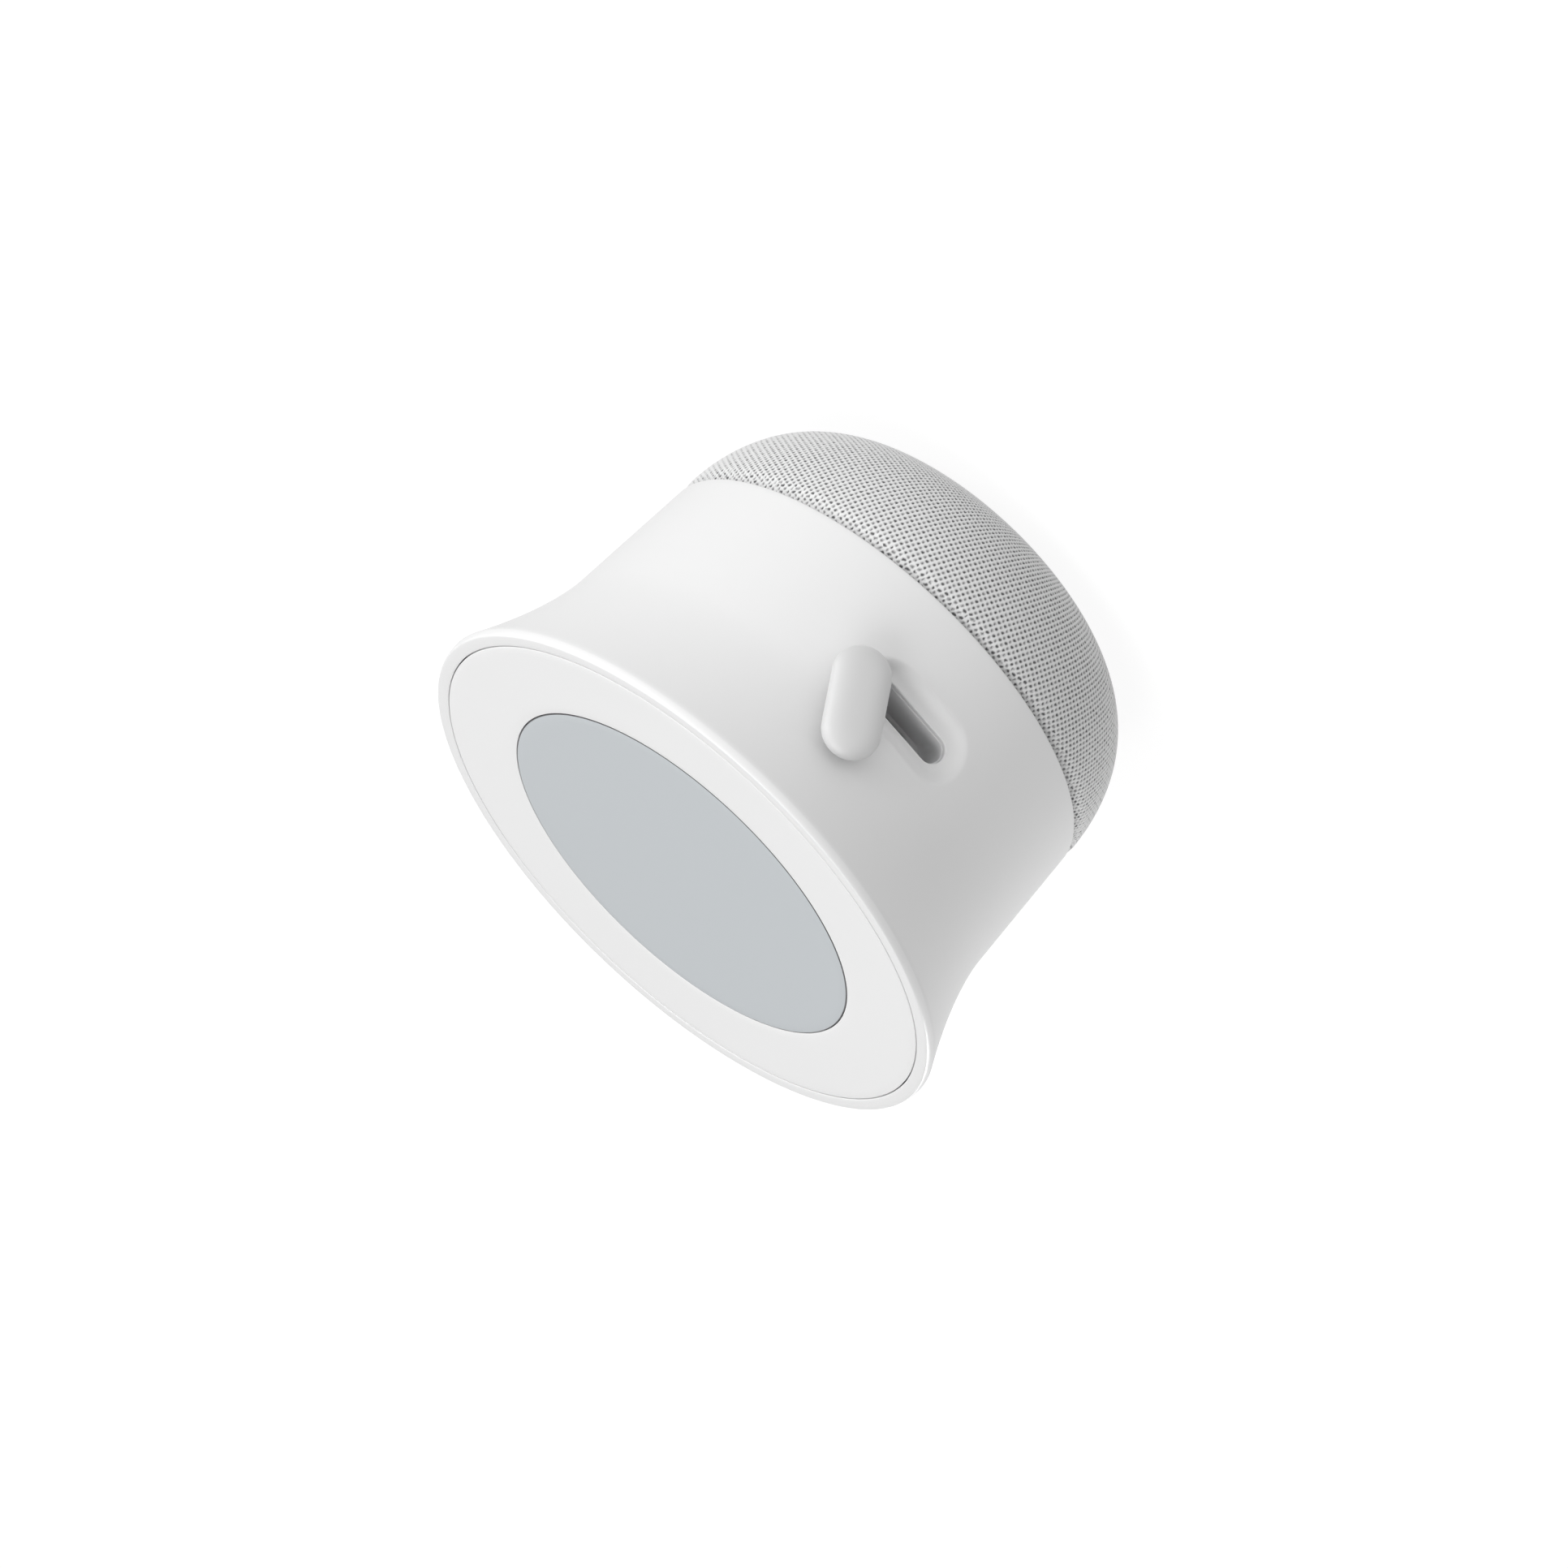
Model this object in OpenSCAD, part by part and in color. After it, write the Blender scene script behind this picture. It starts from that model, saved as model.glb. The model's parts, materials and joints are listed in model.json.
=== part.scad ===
// Round smart display: a screen in a flat round face on top, a flared white
// housing, and a knitted fabric dome below it that hides a down-firing speaker.
// A soft cover swings away from a charging port in the side of the housing.
// Origin: centre of the foot's underside. +Z is the screen's normal, and the
// port faces -Y.

/* [Body] */
// Height from the foot's underside to the screen
height = 75; // [74:0.5:78]
// Radius of the flat face, inside its rounded edge
face_r = 51.9; // [51.5:0.1:52.2]
// Depth of the face's rounded edge
rim_drop = 1.5; // [1.2:0.1:2]
// Radius of the housing where it meets the fabric
waist_r = 43.4; // [43.2:0.1:43.8]
// Height of the line where the housing meets the fabric
waist_z = 26.85; // [26.85:0.05:27.2]
// Housing radius gained for each millimetre of height
taper = 0.0667; // [0.06:0.005:0.08]
// Extra radius of the flare at the top
flare = 6.45; // [6.3:0.05:6.6]
// Height over which the housing flares out
flare_h = 24; // [23:0.5:25]
// How late the flare opens
flare_power = 1.65; // [1.5:0.05:1.8]
// Wall thickness of the housing
wall = 2; // [1.8:0.1:2.2]

/* [Screen] */
// Radius of the cover lens
lens_r = 35; // [34:0.1:35]
// Thickness of the cover lens
lens_t = 1.2; // [1:0.1:1.2]
// Gap round the cover lens
lens_gap = 0.15; // [0.1:0.05:0.25]
// Radius of the front bezel
bezel_r = 49.6; // [49.4:0.05:49.6]
// Width of the groove round the front bezel
bezel_gap = 0.2; // [0.15:0.05:0.3]
// Radius of the display panel
panel_r = 33.1; // [32:0.1:33.1]

/* [Fabric] */
// Thickness of the knitted fabric
fabric_t = 0.8; // [0.6:0.1:0.8]
// Radius of the hole in the fabric round the foot
fabric_hole_r = 21; // [20.8:0.1:21.5]

/* [Port] */
// Height of the port's centre
port_z = 45; // [45:0.1:45.5]
// Half the distance between the port slot's end centres
slot_a = 5.95; // [5:0.05:5.95]
// Radius of the port slot's ends
slot_r = 2.4; // [2.4:0.05:2.5]
// Distance of the port recess's floor from the axis
recess_y = 42.3; // [42.2:0.1:42.4]
// Radius of the ends of the recess's floor
recess_r = 3.4; // [3.3:0.1:3.6]
// Half the distance between the recess's end centres
recess_a = 8.25; // [7.8:0.05:8.25]

/* [Port cover] */
// Half the distance between the cover's end centres
cover_a = 4.9; // [4.7:0.1:4.9]
// Radius of the cover's ends
cover_r = 5.05; // [4.9:0.05:5.05]
// Height of the bevel under the cover
cover_bevel = 1.3; // [1.3:0.1:1.5]
// Thickness of the cover's straight edge
cover_edge = 0.6; // [0.4:0.1:0.6]
// Rise of the cover's pillowed top
cover_rise = 2.2; // [1.8:0.1:2.2]

/* [Speaker] */
// Outer radius of the speaker box
box_r = 37; // [36:0.5:37]
// Outer radius of the cone
cone_r = 21.5; // [21:0.1:21.5]
// Radius of the magnet
magnet_r = 16; // [15:0.5:16]

/* [Foot] */
// Radius of the rubber foot
foot_r = 20.2; // [19:0.1:20.2]
// Thickness of the rubber foot
foot_t = 3; // [2.5:0.1:3]

/* [Hidden] */
$fn = 96;
// Overlap that makes a cut run cleanly past a face
past = 1;
// Number of sides of large revolved bodies, small round bodies and leads
round_steps = 180;
small_steps = 32;
lead_steps = 24;
// Clearance between a screw and its hole, and between two fixed parts
screw_fit = 0.05;
fit = 0.15;
touch = 0.02;

// Screws: shank radius, shank length, head radius, head height
display_screw = [0.8, 3.6, 1.5, 1];
chassis_screw = [1.2, 8.5, 2.2, 1.6];
board_screw = [0.9, 5.4, 1.7, 1.1];
port_screw = [0.8, 2.8, 1.5, 1];
driver_screw = [1, 7, 1.5, 1.2];
cage_screw = [1, 8.6, 1.7, 1.2];

// Housing
rim_bottom = height - rim_drop;
wall_steps = 22;
rim_steps = 6;
ledge_z = height - 2.4;
ledge_r = 47.6;
ledge_t = 1.8;
hem_slot_r = 42.2;
hem_slot_top = 29;
cage_ledge = [30, 34];
cage_ledge_r = 37.8;
port_block = [28, 17];
port_block_back = 38.5;
port_block_inset = 0.2;
counterbore_r = 3.2;
counterbore_y = 41.3;
boss_r = 3.2;
boss_ring_r = 41;
boss_z = [50, 61];
boss_hole_depth = 8;
boss_angles = [45, 135, 225, 315];
recess_slope = [2.7, 2.3];
recess_depth = 6;

// Screen stack, downwards from the face
bezel_bottom = height - 2.2;
bezel_skirt_r = 46.9;
bezel_skirt_h = 2.6;
bezel_hole_depth = 0.8;
bezel_tape_inset = 0.2;
lens_bottom = height - lens_t;
lens_ledge = [33.4, height - 1.5, height - 2.5];
lens_ledge_wide = 2;
lens_tape_r = [33.6, lens_r - 0.1];
film_t = 0.25;
film_gap = 0.05;
panel_z = [height - 3.3, height - 1.6];
backlight_z = [height - 5.25, height - 3.35];
backplate_z = [height - 6.1, height - 5.3];
backplate_r = 39;
backplate_notch = [7, panel_r + 0.4];
display_boss_ring = 37.4;
display_boss_r = 1.9;
display_angles = [30, 150, 270];
display_flex_x = 6;
display_flex_y = [panel_r + 0.9, panel_r + 1.2];
display_flex_top = height - 3.8;
mic_ring = [42.5, 46.5];
mic_board_t = 0.8;
mic_size = [1.5, 1.15, 1];
mic_angles = [15, 105, 195, 285];

// Chassis, battery and boards
chassis_r = 43;
chassis_z = [61, 62.6];
chassis_skin = 0.8;
chassis_window = [7.5, panel_r, panel_r + 2.2];
standoff_ring = 33;
standoff_r = 2.4;
standoff_angles = [0, 60, 180, 300];
board_r = 37.5;
board_z = [56, 57.2];
battery_size = [50, 34, 4.2];
battery_z = 63;
battery_pad_half = [18, 12];
lead_r = 0.6;
lead_gap = 0.1;
battery_lead_x = 28;
battery_lead_y = 1;
battery_lead_hole_r = 2.4;
plug_h = 1.6;
// Corners of the sockets on the board's two faces, and their height
connector_h = 1.5;
top_connectors = [[[-6.5, panel_r - 2.5], [6.5, panel_r + 0.7]], [[26, -3], [30, 3]]];
low_connectors = [[[-5.5, -20.5], [5.5, -17.5]], [[19, -3], [23, 3]]];
// Corners of the chips on the board's two faces, each with its height
top_chips = [[[-7, -7], [7, 7], 1.2], [[-7, 9], [3, 17], 1]];
low_chips = [[[-26, 4], [-16, 14], 1.2], [[-24, -14], [-17, -7], 1.4]];
can_corners = [[-11, -11], [11, 20]];
can_skin = 0.3;
can_h = 2;
spreader_half = [20, 24];
spreader_gap = [0.05, 0.1];
spreader_hole_r = 3;
spreader_hole_angles = [60, 300];
antenna_r = [42.2, 42.5];
antenna_z = [50, 56];
antenna_x = 14;
antenna_y = [30, 45];

// Port
liner_flange_y = [37.9, 36.4];
liner_flange_r = 4.4;
liner_wall_r = 3;
liner_in_r = 2.25;
liner_lip_fit = 0.05;
liner_end_y = [33, 31];
gasket_gap = 0.1;
usb_half = [4.47, 1.58];
usb_y = [33.6, 26.3];
usb_skin = 0.3;
usb_back = 0.6;
tongue_half = [3.3, 0.35];
port_board_top = port_z - usb_half[1] - touch;
port_board_size = [20, 12.8, 1];
port_board_y = -30.8;
port_board_hole = 2;
port_screw_xy = [7.5, 21];
port_flex_x = 5;
port_flex_y = [-20.5, -18.8, -18.5];
port_flex_t = 0.3;

// The cover swings about this line, from shut over the port to open beside it
cover_base_y = 44.75;
cover_under_r = 3.6;
cover_crown_r = 2.4;
cover_steps = 6;
cover_pivot = [10.7, -46.3, port_z - 4.54];
cover_axis = [-0.029, 0.975, 0.218];
cover_open = 61.8;
tether_foot = [8.8, -recess_y, port_z + 1.2];
tether_reach = [2.1, -2.2, 1.1];
tether_r = 0.85;

// Speaker box and baffle
box_z = [18, 40];
box_wall = 2;
box_lug_r = [box_r - 0.5, 41.1];
box_lug_z = [28.05, 29.9];
box_post_r = 2.2;
box_post_hole = 1;
baffle_z = [16, 18];
baffle_boss_r = 2.1;
baffle_boss_h = 4;
baffle_hole_h = 3;
mouth_r = 25.6;
cage_screw_ring = 39.4;
cage_hole_skin = 1;

// Speaker driver
flange_z = [13.4, 15.4];
flange_r = 29.5;
flange_in_r = 24.4;
basket_skin = 0.6;
basket_out = [[25.4, flange_z[1]], [17.4, 24.8], [17.2, 26.2], [9.5, 26.2]];
basket_in = [[9.5, 25], [16.2, 24.9], [flange_in_r, flange_z[1] - basket_skin]];
basket_windows = 6;
basket_window = [[14, -5, 17], [26, 5, 23]];
gasket_r = 29.3;
gasket_hole_r = 1.1;
driver_screw_ring = 27.8;
plate_z = [26.2, 28.7];
plate_r = [8.3, 15];
magnet_in_r = 9.5;
magnet_top = 35.2;
yoke_top = 37.2;
pole_r = 6.6;
pole_bottom = 26;
coil_r = [7.1, 7.8];
coil_z = [19.6, 31];
cone_lip = 0.4;
cone_skin = 0.6;
cone_neck_z = [19.8, 20.6];
cap_r = 7;
cap_z = 19.4;
cap_rise = 2.2;
cap_skin = 0.4;
cap_steps = 8;
surround_z = flange_z[0] - 0.05;
surround_r = [21, 26];
surround_middle = 23.2;
surround_roll = 1.1;
surround_skin = [0.4, 0.1];
surround_steps = 10;
spider_r = [coil_r[1] + 0.1, 16.9];
spider_z = 23.1;
spider_wave = 0.45;
spider_waves = 3;
spider_skin = 0.35;
spider_steps = 24;
speaker_lead = [17.9, 21, 25.5];
speaker_lead_y = [-1.2, 1.2];
lead_hole_depth = 3;

// Dome under the housing: a superellipse of revolution
dome_exp_r = 0.4837;
dome_exp_z = 0.967;
dome_steps = 16;
cage_inset = [1, 2.8];
cage_start = 3;
cage_end_r = 24;
cage_rim_r = [37.6, 41.1];
cage_rim_z = [24, 28];
cage_floor = [0.2, 2.4];
cage_slots = 30;
cage_slot = [2.4, 6, 22];
cage_slot_r = [26, 46];
cage_screw_z = 24;
cage_pocket = [1.85, 21];
hem_r = [41.25, 42.05];
hem_z = [26.2, 28.6];
hem_angle = 2;
foot_edge = 0.5;
foot_tape_inset = 0.7;
foot_tape_t = 0.2;

// Radius of the housing's outside at height z
function shell_r(z) = waist_r + taper * (z - waist_z)
    + flare * pow(max(0, 1 - (height - z) / flare_h), flare_power);

// Angle round the dome's section at which its radius is r
function dome_angle(r) = acos(pow(r / waist_r, 1 / dome_exp_r));

// Point of the dome's section at angle a, moved inwards by an inset
function dome_point(a, inset) =
    [(waist_r - inset) * pow(cos(a), dome_exp_r),
     waist_z - (waist_z - inset) * pow(sin(a), dome_exp_z)];

// Points of the dome's section between two angles
function dome_line(a0, a1, inset) =
    [for (i = [0:dome_steps]) dome_point(a0 + (a1 - a0) * i / dome_steps, inset)];

// Flat corner [x, y] at height z
function at(xy, z) = [xy[0], xy[1], z];

// Solid ring between two radii and two heights
module ring(r_in, r_out, z0, z1) {
    translate([0, 0, z0])
        linear_extrude(z1 - z0)
            difference() {
                circle(r_out);
                circle(r_in);
            }
}

// Solid disc between two heights
module disc(r, z0, z1) {
    translate([0, 0, z0])
        cylinder(r = r, h = z1 - z0);
}

// Box given by its lowest and highest corners
module block(low, high) {
    translate(low)
        cube(high - low);
}

// Children repeated round the axis at a radius
module around(angles, radius) {
    for (a = angles)
        rotate(a)
            translate([radius, 0, 0])
                children();
}

// Children at the two screws of the port board
module at_port_screws() {
    for (side = [-1, 1])
        translate([side * port_screw_xy[0], -port_screw_xy[1], 0])
            children();
}

// Flat outline of a slot with round ends
module slot_outline(a, r) {
    square([2 * a, 2 * r], center = true);
    for (side = [-a, a])
        translate([side, 0])
            circle(r);
}

// Slot-shaped prism through the port wall, between two distances from the axis
module port_prism(a, r, y_out, y_in) {
    translate([0, -y_in, port_z])
        rotate([90, 0, 0])
            linear_extrude(y_out - y_in)
                slot_outline(a, r);
}

// Slot-shaped tube through the port wall
module port_tube(a, r_in, r_out, y_out, y_in) {
    difference() {
        port_prism(a, r_out, y_out, y_in);
        port_prism(a, r_in, y_out + past, y_in - past);
    }
}

// Long body with round ends: a half section swept along a line and round its ends
module long_round(a, section) {
    last = len(section) - 1;
    mirrored = [for (i = [last:-1:0]) [-section[i][0], section[i][1]]];
    rotate([90, 0, 90])
        linear_extrude(2 * a, center = true)
            polygon(concat(section, mirrored));
    for (side = [-a, a])
        translate([side, 0, 0])
            rotate_extrude()
                polygon(concat([[0, section[0][1]]], section, [[0, section[last][1]]]));
}

// Screw standing head down at z = 0, with a hexagonal socket
module screw(size) {
    socket_r = 0.5 * size[2];
    socket_h = 0.6 * size[3];
    difference() {
        union() {
            cylinder(r = size[0], h = size[1], $fn = small_steps);
            translate([0, 0, -size[3]])
                cylinder(r = size[2], h = size[3], $fn = small_steps);
        }
        translate([0, 0, -size[3] - past])
            cylinder(r = socket_r, h = past + socket_h, $fn = 6);
    }
}

// Hole for a screw between two heights
module screw_hole(size, z0, z1) {
    disc(size[0] + screw_fit, z0, z1);
}

module main_shell() {
    outside = [for (i = [0:wall_steps])
        let (z = waist_z + (rim_bottom - waist_z) * i / wall_steps) [shell_r(z), z]];
    rim_in = shell_r(rim_bottom) - face_r;
    rim = [for (i = [1:rim_steps])
        let (a = 90 * i / rim_steps) [face_r + rim_in * cos(a), rim_bottom + rim_drop * sin(a)]];
    inside_h = ledge_z - ledge_t - hem_slot_top;
    inside = [for (i = [wall_steps:-1:0])
        let (z = hem_slot_top + inside_h * i / wall_steps) [shell_r(z) - wall, z]];
    groove_r = bezel_r + bezel_gap;
    ledge = [[groove_r, height], [groove_r, ledge_z], [ledge_r, ledge_z], [ledge_r, ledge_z - ledge_t]];
    hem_slot = [[hem_slot_r, hem_slot_top], [hem_slot_r, waist_z]];
    color("white")
        difference() {
            union() {
                rotate_extrude($fn = round_steps)
                    polygon(concat(outside, rim, ledge, inside, hem_slot));
                ring(cage_ledge_r, hem_slot_r, cage_ledge[0], cage_ledge[1]);
                around(boss_angles, boss_ring_r)
                    disc(boss_r, boss_z[0], boss_z[1]);
                intersection() {
                    block([-port_block[0] / 2, -shell_r(port_z), port_z - port_block[1] / 2],
                          [port_block[0] / 2, -port_block_back, port_z + port_block[1] / 2]);
                    disc(waist_r - port_block_inset, waist_z, height);
                }
            }
            around(boss_angles, boss_ring_r)
                screw_hole(chassis_screw, boss_z[1] - boss_hole_depth, boss_z[1] + past);
            around(boss_angles, cage_screw_ring)
                screw_hole(cage_screw, cage_ledge[0] - past, cage_ledge[1] - cage_hole_skin);
            recess();
            port_prism(slot_a, slot_r, recess_y + past, counterbore_y - past);
            port_prism(slot_a, counterbore_r, counterbore_y, port_block_back - past);
        }
}

// Space of the dished recess round the port: sloping walls over a flat floor
module recess() {
    top_r = recess_r + recess_depth * recess_slope[0] / recess_slope[1];
    translate([0, -recess_y, port_z])
        rotate([90, 0, 0])
            long_round(recess_a, [[recess_r, 0], [top_r, recess_depth]]);
}

module front_bezel() {
    color("white")
        difference() {
            union() {
                ring(lens_r + lens_gap, bezel_r, bezel_bottom, height);
                ring(lens_ledge[0], lens_r + lens_ledge_wide, lens_ledge[2], lens_ledge[1]);
                ring(bezel_skirt_r, ledge_r - fit, bezel_bottom - bezel_skirt_h, bezel_bottom);
                around(display_angles, display_boss_ring)
                    disc(display_boss_r, backplate_z[1], bezel_bottom);
            }
            around(display_angles, display_boss_ring)
                screw_hole(display_screw, backplate_z[1] - past, bezel_bottom + bezel_hole_depth);
        }
}

module bezel_tape() {
    color("dimgray")
        ring(ledge_r + bezel_tape_inset, bezel_r - bezel_tape_inset, ledge_z, bezel_bottom);
}

module screen_lens() {
    color([0.77, 0.785, 0.795])
        disc(lens_r, lens_bottom, height);
}

module lens_tape() {
    color("black")
        ring(lens_tape_r[0], lens_tape_r[1], lens_ledge[1], lens_bottom);
}

module touch_film() {
    film_top = lens_bottom - film_gap;
    color("gray")
        disc(panel_r, film_top - film_t, film_top);
}

module display_panel() {
    color("darkslategray")
        disc(panel_r, panel_z[0], panel_z[1]);
}

module backlight() {
    color("lightgray")
        disc(panel_r, backlight_z[0], backlight_z[1]);
}

module display_backplate() {
    color("silver")
        difference() {
            disc(backplate_r, backplate_z[0], backplate_z[1]);
            block([-backplate_notch[0], backplate_notch[1], backplate_z[0] - past],
                  [backplate_notch[0], backplate_r + past, backplate_z[1] + past]);
            around(display_angles, display_boss_ring)
                screw_hole(display_screw, backplate_z[0] - past, backplate_z[1] + past);
        }
}

module display_screws() {
    color("gray")
        around(display_angles, display_boss_ring)
            translate([0, 0, backplate_z[0]])
                screw(display_screw);
}

// Flat cable from the edge of the display down to the main board
module display_flex() {
    color("darkorange")
        block([-display_flex_x, display_flex_y[0], board_z[1] + lead_gap],
              [display_flex_x, display_flex_y[1], display_flex_top]);
}

module microphone_board() {
    color("darkgreen")
        ring(mic_ring[0], mic_ring[1], bezel_bottom - mic_board_t, bezel_bottom);
}

module microphones() {
    top = bezel_bottom - mic_board_t;
    color("silver")
        around(mic_angles, (mic_ring[0] + mic_ring[1]) / 2)
            block([-mic_size[0], -mic_size[1], top - mic_size[2]], [mic_size[0], mic_size[1], top]);
}

module chassis() {
    color("lightgray")
        difference() {
            union() {
                disc(chassis_r, chassis_z[0], chassis_z[1]);
                around(standoff_angles, standoff_ring)
                    disc(standoff_r, board_z[1], chassis_z[0]);
                around(boss_angles, boss_ring_r)
                    disc(boss_r, chassis_z[0], chassis_z[1]);
            }
            around(boss_angles, boss_ring_r)
                screw_hole(chassis_screw, chassis_z[0] - past, chassis_z[1] + past);
            around(standoff_angles, standoff_ring)
                screw_hole(board_screw, board_z[1] - past, chassis_z[1] - chassis_skin);
            block([-chassis_window[0], chassis_window[1], chassis_z[0] - past],
                  [chassis_window[0], chassis_window[2], chassis_z[1] + past]);
            translate([battery_lead_x, 0, 0])
                disc(battery_lead_hole_r, chassis_z[0] - past, chassis_z[1] + past);
        }
}

module chassis_screws() {
    color("gray")
        around(boss_angles, boss_ring_r)
            translate([0, 0, chassis_z[1]])
                rotate([180, 0, 0])
                    screw(chassis_screw);
}

module battery_cell() {
    r = battery_size[2] / 2;
    color("slategray")
        translate([0, 0, battery_z + r])
            rotate([90, 0, 0])
                linear_extrude(battery_size[1], center = true)
                    slot_outline(battery_size[0] / 2 - r, r);
}

module battery_pad() {
    color("gold")
        block(at(-battery_pad_half, chassis_z[1]), at(battery_pad_half, battery_z));
}

// Two leads from the battery's edge, down through the chassis to their plug
module battery_leads() {
    start_x = battery_size[0] / 2 + lead_gap;
    top = battery_z + battery_size[2] / 2;
    plug_top = board_z[1] + plug_h;
    color("red")
        for (y = [-battery_lead_y, battery_lead_y])
            translate([0, y, 0]) {
                translate([start_x, 0, top])
                    rotate([0, 90, 0])
                        cylinder(r = lead_r, h = battery_lead_x - start_x, $fn = lead_steps);
                translate([battery_lead_x, 0, top])
                    sphere(lead_r, $fn = lead_steps);
                translate([battery_lead_x, 0, plug_top])
                    cylinder(r = lead_r, h = top - plug_top, $fn = lead_steps);
            }
}

module main_board() {
    color("darkgreen")
        difference() {
            disc(board_r, board_z[0], board_z[1]);
            around(standoff_angles, standoff_ring)
                screw_hole(board_screw, board_z[0] - past, board_z[1] + past);
        }
}

module board_screws() {
    color("gray")
        around(standoff_angles, standoff_ring)
            translate([0, 0, board_z[0]])
                screw(board_screw);
}

// Sockets for the display and the battery on top, for the port and the speaker below
module board_connectors() {
    color("ivory") {
        for (c = top_connectors)
            block(at(c[0], board_z[1]), at(c[1], board_z[1] + connector_h));
        for (c = low_connectors)
            block(at(c[0], board_z[0] - connector_h), at(c[1], board_z[0]));
    }
}

module board_chips() {
    color([0.12, 0.12, 0.13]) {
        for (c = top_chips)
            block(at(c[0], board_z[1]), at(c[1], board_z[1] + c[2]));
        for (c = low_chips)
            block(at(c[0], board_z[0] - c[2]), at(c[1], board_z[0]));
    }
}

module shield_can() {
    top = board_z[1] + can_h;
    skin = [can_skin, can_skin];
    color("silver")
        difference() {
            block(at(can_corners[0], board_z[1]), at(can_corners[1], top));
            block(at(can_corners[0] + skin, board_z[1] - past), at(can_corners[1] - skin, top - can_skin));
        }
}

module heat_spreader() {
    low = board_z[1] + can_h + spreader_gap[0];
    color("lightsteelblue")
        difference() {
            block(at(-spreader_half, low), at(spreader_half, chassis_z[0] - spreader_gap[1]));
            around(spreader_hole_angles, standoff_ring)
                disc(spreader_hole_r, board_z[1], chassis_z[1]);
        }
}

module wifi_antenna() {
    color("goldenrod")
        intersection() {
            ring(antenna_r[0], antenna_r[1], antenna_z[0], antenna_z[1]);
            block([-antenna_x, antenna_y[0], antenna_z[0] - past],
                  [antenna_x, antenna_y[1], antenna_z[1] + past]);
        }
}

module port_liner() {
    color([0.5, 0.5, 0.51])
        difference() {
            union() {
                port_prism(slot_a, counterbore_r - liner_lip_fit, counterbore_y - liner_lip_fit,
                           liner_flange_y[0]);
                port_prism(slot_a, liner_flange_r, liner_flange_y[0], liner_flange_y[1]);
                port_prism(slot_a, liner_wall_r, liner_flange_y[1], liner_end_y[1]);
            }
            port_prism(slot_a, liner_in_r, counterbore_y + past, liner_end_y[0]);
            block([-usb_half[0] - fit, -liner_end_y[0] - past, port_z - usb_half[1] - fit],
                  [usb_half[0] + fit, -liner_end_y[1] + past, port_z + usb_half[1] + fit]);
        }
}

module port_gasket() {
    color("black")
        port_tube(slot_a, counterbore_r + gasket_gap, liner_flange_r, port_block_back, liner_flange_y[0]);
}

module port_board() {
    low = port_board_top - port_board_size[2];
    color("darkgreen")
        difference() {
            block([-port_board_size[0] / 2, port_board_y, low],
                  [port_board_size[0] / 2, port_board_y + port_board_size[1], port_board_top]);
            at_port_screws()
                screw_hole(port_screw, port_board_top - port_board_hole, port_board_top + past);
        }
}

module port_board_screws() {
    color("gray")
        at_port_screws()
            translate([0, 0, port_board_top])
                rotate([180, 0, 0])
                    screw(port_screw);
}

// Flat cable from the port board up to the main board
module port_flex() {
    color("darkorange") {
        block([-port_flex_x, port_flex_y[0], port_board_top],
              [port_flex_x, port_flex_y[2], port_board_top + port_flex_t]);
        block([-port_flex_x, port_flex_y[1], port_board_top],
              [port_flex_x, port_flex_y[2], board_z[0] - connector_h]);
    }
}

module usb_shell() {
    a = usb_half[0] - usb_half[1];
    color("silver")
        difference() {
            port_prism(a, usb_half[1], usb_y[0], usb_y[1]);
            port_prism(a, usb_half[1] - usb_skin, usb_y[0] + past, usb_y[1] + usb_back);
        }
}

module usb_tongue() {
    color("black")
        block([-tongue_half[0], -usb_y[0] + usb_back, port_z - tongue_half[1]],
              [tongue_half[0], -usb_y[1] - usb_back, port_z + tongue_half[1]]);
}

// Soft cover as it lies when shut over the port: bevelled below, pillowed on top
module cover_shut() {
    edge_top = cover_bevel + cover_edge;
    shoulder = cover_r - cover_crown_r;
    crown = [for (i = [0:cover_steps])
        let (a = 90 * i / cover_steps)
            [cover_crown_r + shoulder * cos(a), edge_top + cover_rise * sin(a)]];
    translate([0, -cover_base_y, port_z])
        rotate([90, 0, 0])
            long_round(cover_a, concat([[cover_under_r, 0], [cover_r, cover_bevel]], crown));
}

module port_cover() {
    color("whitesmoke")
        translate(cover_pivot)
            rotate(cover_open, cover_axis)
                translate(-cover_pivot)
                    cover_shut();
}

// Short rubber strap that leans out of the recess and holds the cover
module cover_tether() {
    lean = acos(tether_reach[2] / norm(tether_reach));
    turn = atan2(tether_reach[1], tether_reach[0]);
    color("gainsboro")
        translate(tether_foot)
            rotate([0, lean, turn])
                translate([0, 0, tether_r])
                    cylinder(r = tether_r, h = norm(tether_reach) - tether_r, $fn = small_steps);
}

module speaker_box() {
    color([0.2, 0.2, 0.21]) {
        difference() {
            union() {
                disc(box_r, box_z[0], box_z[1]);
                ring(box_lug_r[0], box_lug_r[1], box_lug_z[0], box_lug_z[1]);
            }
            disc(box_r - box_wall, box_z[0] - past, box_z[1] - box_wall);
            around(boss_angles, cage_screw_ring)
                screw_hole(cage_screw, box_lug_z[0] - past, box_lug_z[1] + past);
            for (y = speaker_lead_y)
                translate([speaker_lead[1], y, 0])
                    disc(lead_r + lead_gap, box_z[1] - lead_hole_depth, box_z[1] + past);
            at_port_screws()
                screw_hole(port_screw, box_z[1] - box_post_hole, box_z[1] + past);
        }
        at_port_screws()
            ring(port_screw[0] + screw_fit, box_post_r, box_z[1], port_board_top - port_board_size[2]);
    }
}

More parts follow.
